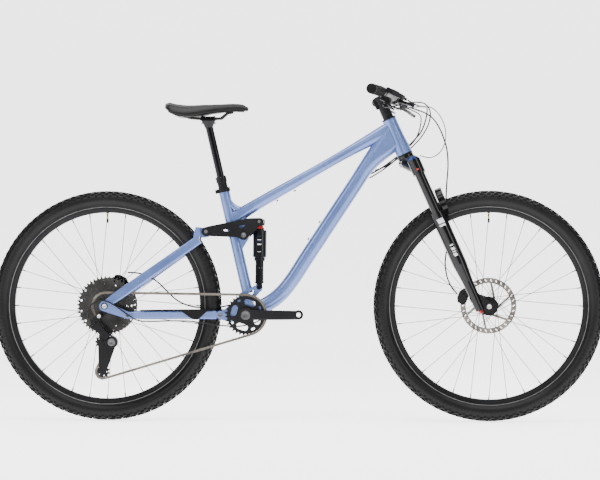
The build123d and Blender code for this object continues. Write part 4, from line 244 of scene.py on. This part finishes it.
def make_tyre(name, node, body, centre):
    """A casing with a rim line, rows of tread blocks and fine sidewall ribs."""
    outer = [(0.3125, 0.0133), (0.3150, 0.0139), (0.3163, 0.0146), (0.3185, 0.0158), (0.3197, 0.0166),
             (0.3240, 0.0215), (0.3290, 0.0258), (0.3350, 0.0288), (0.3410, 0.0299), (0.3480, 0.0292),
             (0.3550, 0.0264), (0.3605, 0.0214), (0.3640, 0.0150), (0.3660, 0.0075), (0.3664, 0.0)]
    outer = outer + [(radius, -y) for radius, y in reversed(outer[:-1])]
    inner = [(0.3125, -0.0106), (0.3200, -0.0124), (0.3290, -0.0220), (0.3410, -0.0265),
             (0.3550, -0.0235), (0.3625, 0.0), (0.3550, 0.0235), (0.3410, 0.0265), (0.3290, 0.0220),
             (0.3200, 0.0124), (0.3125, 0.0106)]
    profile = outer + inner
    marks = []
    for index, (radius, y) in enumerate(profile):
        after = profile[(index + 1) % len(profile)]
        middle = (radius + after[0]) / 2
        line = 0.3163 < middle < 0.3186 and index < len(outer)
        marks.append(1 if line else 0)
    points, faces, kinds = lathe(profile, centre, TYRE_STEPS, marks)
    casing = mesh_piece(name + "_casing", points, faces, [SIDEWALL, LINE], body)
    for index, kind in enumerate(kinds):
        casing.data.polygons[index].material_index = kind
    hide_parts(node)
    points = []
    faces = []
    step = 2 * math.pi / KNOBS_PER_ROW
    for number in range(KNOBS_PER_ROW):
        angle = number * step
        even = number % 2
        for way in (-1, 1):
            stagger = 0.25 * step * way
            knob(points, faces, centre, angle + stagger, way * 0.0047, way * 0.10,
                 0.0118 if even else 0.0095, 0.0066, 0.3660, 0.0036, way * 0.0010)
            knob(points, faces, centre, angle + 0.5 * step, way * 0.0132, way * 0.42,
                 0.0088, 0.0064, 0.3640, 0.0034, way * 0.0012)
            knob(points, faces, centre, angle, way * 0.0216, way * 0.86,
                 0.0126 if even else 0.0100, 0.0070, 0.3590, 0.0040)
            knob(points, faces, centre, angle + 0.5 * step, way * 0.0262, way * 1.18,
                 0.0080, 0.0052, 0.3545, 0.0026)
    blocks = mesh_piece(name + "_tread", points, faces, [TREAD], body, smooth=False)
    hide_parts(node)
    points = []
    faces = []
    for number in range(SIDEWALL_RIBS):
        angle = 2 * math.pi * number / SIDEWALL_RIBS
        for way in (-1, 1):
            knob(points, faces, centre, angle, way * 0.0292, way * 1.45, 0.0016, 0.0110, 0.3440, 0.0006)
    ribs = mesh_piece(name + "_ribs", points, faces, [SIDEWALL], body, smooth=False)
    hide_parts(node)


make_tyre("front_tyre", "front_tyre", "front_wheel", (FRONT_X, AXLE_Z))
make_tyre("rear_tyre", "rear_tyre", "rear_wheel", (REAR_X, AXLE_Z))


# ------------------------------------------------------------ valves
def turned(name, start, direction, stations, materials, body, sides=24, marks=None):
    """A round piece turned about a line, from (distance, radius) stations."""
    direction = Vector(direction).normalized()
    first = direction.orthogonal().normalized()
    second = direction.cross(first)
    points = []
    faces = []
    for distance, radius in stations:
        for index in range(sides):
            angle = 2 * math.pi * index / sides
            points.append(Vector(start) + direction * distance
                          + (first * math.cos(angle) + second * math.sin(angle)) * radius)
    for level in range(len(stations) - 1):
        for index in range(sides):
            after = (index + 1) % sides
            faces.append((level * sides + index, level * sides + after, (level + 1) * sides + after,
                          (level + 1) * sides + index))
    faces.append(tuple(range(sides - 1, -1, -1)))
    faces.append(tuple((len(stations) - 1) * sides + index for index in range(sides)))
    thing = mesh_piece(name, points, faces, materials, body)
    if marks:
        for level, mark in enumerate(marks):
            for index in range(sides):
                thing.data.polygons[level * sides + index].material_index = mark
    return thing


for wheel, x, body in (("front", FRONT_X, "front_wheel"), ("rear", REAR_X, "rear_wheel")):
    turned(wheel + "_valve", (x, 0, AXLE_Z + 0.3005), (0, 0, -1),
           [(0, 0.0032), (0.0025, 0.0045), (0.0045, 0.0045), (0.005, 0.003), (0.017, 0.003), (0.0172, 0.0024),
            (0.020, 0.0024), (0.0202, 0.0036), (0.032, 0.0034), (0.034, 0.0022)],
           [BRASS, GLOSS], body, 20, [0, 0, 0, 0, 0, 0, 1, 1, 1])


# ------------------------------------------------------------ saddle
def make_saddle():
    """A crowned cover over foam, with a pressure channel, two long seams and an edge tucked under."""
    run = [(-0.4268, 0.033, 1.0092, 0.0105), (-0.4225, 0.046, 1.0050, 0.0175),
           (-0.413, 0.0605, 0.9972, 0.0285), (-0.402, 0.0675, 0.9905, 0.0325),
           (-0.388, 0.0705, 0.9853, 0.0347), (-0.370, 0.0710, 0.9822, 0.0352),
           (-0.355, 0.0697, 0.9812, 0.0349), (-0.336, 0.0640, 0.9822, 0.0338),
           (-0.318, 0.0558, 0.9852, 0.0318), (-0.299, 0.0465, 0.9895, 0.0285),
           (-0.280, 0.0378, 0.9932, 0.0250), (-0.260, 0.0315, 0.9958, 0.0232),
           (-0.240, 0.0268, 0.9976, 0.0221), (-0.220, 0.0238, 0.9990, 0.0217),
           (-0.200, 0.0214, 1.0000, 0.0214), (-0.185, 0.0198, 0.9998, 0.0202),
           (-0.172, 0.0178, 0.9990, 0.0180), (-0.163, 0.0145, 0.9988, 0.0128),
           (-0.1575, 0.0100, 0.9988, 0.0080)]
    across = [-1.0, -0.985, -0.95, -0.90, -0.83, -0.76, -0.70, -0.665, -0.63, -0.55, -0.45, -0.34,
              -0.24, -0.16, -0.10, -0.05, 0.0]
    across = across + [-value for value in reversed(across[:-1])]
    points = []
    faces = []
    kinds = []
    for x, half, edge, crown in run:
        ring = []
        for share in across:
            height = crown * max(1 - abs(share) ** CROWN_POWER, 0) ** CROWN_ROUNDING
            seam = math.exp(-((abs(share) - SEAM_SHARE) / 0.022) ** 2) * 0.0011
            channel = math.exp(-(share / 0.13) ** 2) * 0.0022 if -0.40 < x < -0.20 else 0.0
            bulge = 0.0006 * math.sin(9 * share) * math.cos(160 * x)
            ring.append((x, half * share, edge + height - seam - channel + bulge))
        ring.append((x, half * 0.97, edge - 0.0022))
        ring.append((x, half * 0.88, edge - 0.0006))
        ring.append((x, -half * 0.88, edge - 0.0006))
        ring.append((x, -half * 0.97, edge - 0.0022))
        points.extend(ring)
    count = len(across) + 4
    for station in range(len(run) - 1):
        for index in range(count):
            after = (index + 1) % count
            faces.append((station * count + index, station * count + after, (station + 1) * count + after,
                          (station + 1) * count + index))
            share = abs(across[index]) if index < len(across) - 1 else 1
            kinds.append(0 if share < 0.66 else 1)
    faces.append(tuple(range(count - 1, -1, -1)))
    faces.append(tuple((len(run) - 1) * count + index for index in range(count)))
    kinds.extend([1, 1])
    pad = mesh_piece("saddle_cover", points, faces, [COVER, COVER_SIDE], "seat")
    for index, kind in enumerate(kinds):
        pad.data.polygons[index].material_index = kind
    rounding = pad.modifiers.new("rounding", "SUBSURF")
    rounding.levels = 2
    rounding.render_levels = 2
    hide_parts("saddle_pad")
    stitches = []
    stitch_faces = []
    for way in (-1, 1):
        for number in range(STITCHES):
            x = -0.412 + number * STITCH_PITCH
            for left, right in zip(run, run[1:]):
                if left[0] <= x <= right[0]:
                    part = (x - left[0]) / (right[0] - left[0])
                    half = left[1] + (right[1] - left[1]) * part
                    edge = left[2] + (right[2] - left[2]) * part
                    crown = left[3] + (right[3] - left[3]) * part
            share = STITCH_SHARE
            z = edge + crown * (1 - share ** CROWN_POWER) ** CROWN_ROUNDING
            first = len(stitches)
            for dx, dy, dz in ((-0.0012, -0.0003, 0), (0.0012, -0.0003, 0),
                               (0.0012, 0.0003, 0), (-0.0012, 0.0003, 0),
                               (-0.0008, 0, 0.00045), (0.0008, 0, 0.00045)):
                stitches.append((x + dx, way * (half * share + dy), z + dz + 0.00005))
            stitch_faces.extend([(first, first + 1, first + 5, first + 4),
                                 (first + 2, first + 3, first + 4, first + 5),
                                 (first, first + 4, first + 3), (first + 1, first + 2, first + 5),
                                 (first + 3, first + 2, first + 1, first)])
    thread = mesh_piece("saddle_stitching", stitches, stitch_faces, [GREY], "seat", smooth=False)
    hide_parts("saddle_pad")


make_saddle()

# ------------------------------------------------------------ printed marks and trim, as thin bands
HEAD = math.radians(66)
UP = Vector((-math.cos(HEAD), 0, math.sin(HEAD)))
FORWARD = Vector((math.sin(HEAD), 0, math.cos(HEAD)))
ORIGIN = Vector((0.3445, 0, 0.8582))


def steer(forward, left, up):
    return ORIGIN + FORWARD * forward + Vector((0, left, 0)) + UP * up


def band(name, start, direction, facing, radius, low, high, centre_angle, spread, material, body, inset=0.0):
    """A thin printed patch that wraps part of a round tube."""
    direction = Vector(direction).normalized()
    facing = Vector(facing).normalized()
    side = direction.cross(facing).normalized()
    points = []
    faces = []
    columns = 10
    for lift in (-0.0002, PRINT_THICKNESS):
        for level in (low, high):
            for column in range(columns + 1):
                angle = centre_angle + (column / columns - 0.5) * spread
                lean = inset * (1 if level == low else -1)
                out = facing * math.cos(angle + lean) + side * math.sin(angle + lean)
                points.append(Vector(start) + direction * level + out * (radius + lift))
    row = columns + 1
    for column in range(columns):
        a = column
        faces.append((2 * row + a, 2 * row + a + 1, 3 * row + a + 1, 3 * row + a))
        faces.append((a + row, a + row + 1, a + 1, a))
        faces.append((a, a + 1, 2 * row + a + 1, 2 * row + a))
        faces.append((3 * row + a, 3 * row + a + 1, row + a + 1, row + a))
    faces.append((0, 2 * row, 3 * row, row))
    faces.append((columns, row + columns, 3 * row + columns, 2 * row + columns))
    return mesh_piece(name, points, faces, [material], body)


for way, tag in ((-1, "right"), (1, "left")):
    foot = steer(0.018, way * 0.067, 0)
    marks = ((-0.252, -0.236, 0.9), (-0.262, -0.2555, 0.9), (-0.330, -0.326, 0.5),
             (-0.345, -0.336, 0.5), (-0.352, -0.3485, 0.5), (-0.366, -0.3555, 0.5))
    for number, (low, high, spread) in enumerate(marks):
        band(f"fork_mark_{tag}_{number}", foot, UP, (0, way, 0), 0.0229, low, high, 0.0, spread, WHITE,
             "fork_lower", 0.05)
band("crown_mark", steer(0.018, -0.067, 0), UP, (0, -1, 0), 0.02105, -0.067, -0.062, 0.0, 0.35, RED,
     "steering")

shock_foot = Vector((-0.123, 0, 0.430))
shock_up = Vector((0.0023, 0, 0.211)).normalized()
shock_marks = ((0.1515, 0.1535, WHITE), (0.136, 0.1395, WHITE), (0.1465, 0.1472, BLUE),
               (0.1135, 0.1145, WHITE), (0.1628, 0.1635, BLUE))
for number, (low, high, material) in enumerate(shock_marks):
    band(f"shock_mark_{number}", shock_foot, shock_up, (0, -1, 0), 0.0223, low, high, 0.0, 0.55, material,
         "shock_upper", 0.0)
band("shock_seal_ring", shock_foot, shock_up, (0, -1, 0), 0.01345, 0.060, 0.0635, 0.0, 6.2, GREY,
     "shock_lower")
band("seatpost_ring", (-0.2364, 0, 0.7357), (-0.22495, 0, 0.97437), (0, -1, 0),
     0.01745, 0.047, 0.0485, 0.0, 6.2, GREY, "frame")
turned("crank_cap_right", (-0.1625, -0.0690, 0.3415), (0, -1, 0),
       [(0, 0.0152), (0.0012, 0.0152), (0.0018, 0.0146), (0.0018, 0.0095), (0.0006, 0.009), (0.0006, 0.004)],
       [GREY], "crank", 40)
for cap, x, body, start_y in (("front_axle_cap", FRONT_X, "fork_lower", -0.0801),
                              ("rear_axle_cap", REAR_X, "stays", -0.0851)):
    turned(cap, (x, start_y, AXLE_Z), (0, -1, 0),
           [(0, 0.0078), (0.0006, 0.0078), (0.001, 0.0072), (0.001, 0.0048), (0.0002, 0.0045),
            (0.0002, 0.003)],
           [BRIGHT], body, 32)
turned("hanger_bolt_face", (-0.6306, -0.0946, 0.3382), (0, -1, 0),
       [(0, 0.0062), (0.0006, 0.0062), (0.0009, 0.0056), (0.0009, 0.0034), (0.0002, 0.003)], [BRIGHT],
       "derailleur_mount", 32)
turned("cage_bolt_face", (-0.5901, -0.0951, 0.2551), (0, -1, 0),
       [(0, 0.0125), (0.0008, 0.0125), (0.0013, 0.0117), (0.0013, 0.0070), (0.0004, 0.0065)], [GREY],
       "derailleur_knuckle", 36)
for pivot, y, radius, body in (((-0.292, 0.6086), 0.0424, 0.0062, "rocker"),
                               ((-0.1707, 0.5976), 0.0424, 0.0082, "rocker"),
                               ((-0.1207, 0.6410), 0.0424, 0.0050, "rocker"),
                               ((-0.5392, 0.3404), 0.0841, 0.0058, "stays"),
                               ((-0.2456, 0.3410), 0.0487, 0.0072, "swingarm")):
    for way in (-1, 1):
        turned(f"pivot_trim_{body}_{int(-pivot[0] * 1000)}_{'r' if way < 0 else 'l'}",
               (pivot[0], way * y, pivot[1]), (0, way, 0),
               [(0, radius), (0.0005, radius), (0.0008, radius - 0.0006), (0.0008, radius * 0.62),
                (0.0001, radius * 0.58)], [GREY], body, 28)


# ------------------------------------------------------------ fillet where the top tube meets the seat tube
def tube_fillet():
    """A curved web that smooths the corner in front of the seat tube."""
    curve = [(-0.2235, 0.7360), (-0.2195, 0.7250), (-0.2145, 0.7138), (-0.2065, 0.7035), (-0.1975, 0.6958),
             (-0.1870, 0.6908), (-0.1760, 0.6892), (-0.1650, 0.6925), (-0.1560, 0.6975)]
    root = (-0.2130, 0.6680)
    half_width = 0.0158
    columns = 16
    points = []
    faces = []
    for x, z in curve:
        for column in range(columns + 1):
            angle = math.pi * (column / columns - 0.5)
            share = 0.45 + 0.55 * math.cos(angle) ** 0.7 if abs(angle) < 1.57 else 0.45
            points.append((root[0] + (x - root[0]) * share, half_width * math.sin(angle),
                           root[1] + (z - root[1]) * share))
    row = columns + 1
    for level in range(len(curve) - 1):
        for column in range(row):
            after = (column + 1) % row
            faces.append((level * row + column, level * row + after, (level + 1) * row + after,
                          (level + 1) * row + column))
    faces.append(tuple(range(row - 1, -1, -1)))
    faces.append(tuple((len(curve) - 1) * row + column for column in range(row)))
    mesh_piece("tube_fillet", points, faces, [PAINT], "frame")


tube_fillet()


# ------------------------------------------------------------ grip pattern
def bar_point(y):
    """A point of the handlebar's straight outer run."""
    return Vector((0.30745 - 0.183 * (abs(y) - 0.060), y, 1.04505))


for way, tag in ((-1, "right"), (1, "left")):
    start = bar_point(way * 0.258)
    direction = (bar_point(way * 0.388) - start).normalized()
    first = Vector((0, 0, 1))
    second = direction.cross(first).normalized()
    points = []
    faces = []
    for row in range(26):
        for column in range(22):
            angle = 2 * math.pi * (column + 0.5 * (row % 2)) / 22
            along = 0.0275 + row * 0.0037
            out = first * math.cos(angle) + second * math.sin(angle)
            around = direction.cross(out)
            base = start + direction * along + out * 0.0153
            index = len(points)
            for a, b, lift in ((-1, -1, 0), (1, -1, 0), (1, 1, 0), (-1, 1, 0),
                               (-0.6, -0.6, 1), (0.6, -0.6, 1),
                               (0.6, 0.6, 1), (-0.6, 0.6, 1)):
                points.append(base + direction * (a * 0.0015) + around * (b * 0.0017) + out * (lift * 0.0010))
            for corner in range(4):
                after = (corner + 1) % 4
                faces.append((index + corner, index + after, index + 4 + after, index + 4 + corner))
            faces.append((index + 4, index + 5, index + 6, index + 7))
            faces.append((index + 3, index + 2, index + 1, index))
    mesh_piece(f"grip_pattern_{tag}", points, faces, [GRIP], "steering", smooth=False)


# ------------------------------------------------------------ hoses and chain copied from the CAD meshes
def bending(node, material):
    """A copy of a CAD node's mesh with its own finish, while the CAD node itself is hidden."""
    source = nodes[node]
    data = source.data.copy()
    thing = bpy.data.objects.new(node + "_live", data)
    scene.collection.objects.link(thing)
    thing.data.materials.clear()
    thing.data.materials.append(material)
    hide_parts(node)
    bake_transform(thing)
    return thing


bending("control_cables", JACKET)
bending("fork_lines", JACKET)
bending("rear_cables", JACKET)
bending("chain", CHAIN)


# ------------------------------------------------------------ floor, light and camera
def studio_floor():
    """A pale floor that runs up into a pale wall."""
    points = []
    faces = []
    profile = [(-14.0, 0.0), (6.0, 0.0)]
    for step in range(1, 13):
        angle = math.pi / 2 * step / 12
        profile.append((6.0 + 4 * math.sin(angle), 4 - 4 * math.cos(angle)))
    profile.append((10.0, 16.0))
    for y, z in profile:
        points.append((-16, y, z - 0.0006))
        points.append((16, y, z - 0.0006))
    for index in range(len(profile) - 1):
        faces.append((2 * index, 2 * index + 1, 2 * index + 3, 2 * index + 2))
    return mesh_piece("studio_floor", points, faces, [])


floor = studio_floor()
pale = bpy.data.materials.new("pale_floor")
pale.use_nodes = True
pale_shader = pale.node_tree.nodes["Principled BSDF"]
pale_shader.inputs["Base Color"].default_value = (0.92, 0.92, 0.92, 1)
pale_shader.inputs["Roughness"].default_value = 0.7
pale_shader.inputs["Specular IOR Level"].default_value = 0.1
pale_shader.inputs["Emission Color"].default_value = (1, 1, 1, 1)
pale_shader.inputs["Emission Strength"].default_value = FLOOR_GLOW
floor.data.materials.append(pale)


def area(name, place, target, width, height, power):
    """A soft box that looks at a point."""
    lamp = bpy.data.lights.new(name, "AREA")
    lamp.shape = "RECTANGLE"
    lamp.size = width
    lamp.size_y = height
    lamp.energy = power
    thing = bpy.data.objects.new(name, lamp)
    scene.collection.objects.link(thing)
    thing.location = place
    thing.rotation_mode = "QUATERNION"
    thing.rotation_quaternion = (Vector(target) - Vector(place)).to_track_quat("-Z", "Y")
    return thing


top_box = area("top_box", (0.2, -0.6, 3.4), (0, 0, 0.5), 4.5, 2.6, 230)
left_box = area("left_box", (-3.2, -2.6, 1.9), (0, 0, 0.6), 1.6, 2.4, 70)
right_box = area("right_box", (3.4, -2.8, 1.6), (0, 0, 0.6), 1.4, 2.4, 55)
front_box = area("front_box", (0.3, -5.2, 2.6), (0, 0, 0.5), 4.0, 1.4, 60)

world = bpy.data.worlds.new("studio_world")
world.use_nodes = True
world.node_tree.nodes["Background"].inputs["Color"].default_value = (1, 1, 1, 1)
world.node_tree.nodes["Background"].inputs["Strength"].default_value = WORLD_GLOW
scene.world = world

camera_data = bpy.data.cameras.new("camera")
camera_data.lens = CAMERA_LENS
camera_data.sensor_width = 36
camera_data.clip_end = 60
camera_data.dof.use_dof = False
camera = bpy.data.objects.new("camera", camera_data)
scene.collection.objects.link(camera)
away = Vector((math.sin(CAMERA_YAW), -math.cos(CAMERA_YAW), 0))
camera.location = CAMERA_TARGET + away * CAMERA_DISTANCE
camera.rotation_euler = (math.pi / 2, 0, CAMERA_YAW)
scene.camera = camera
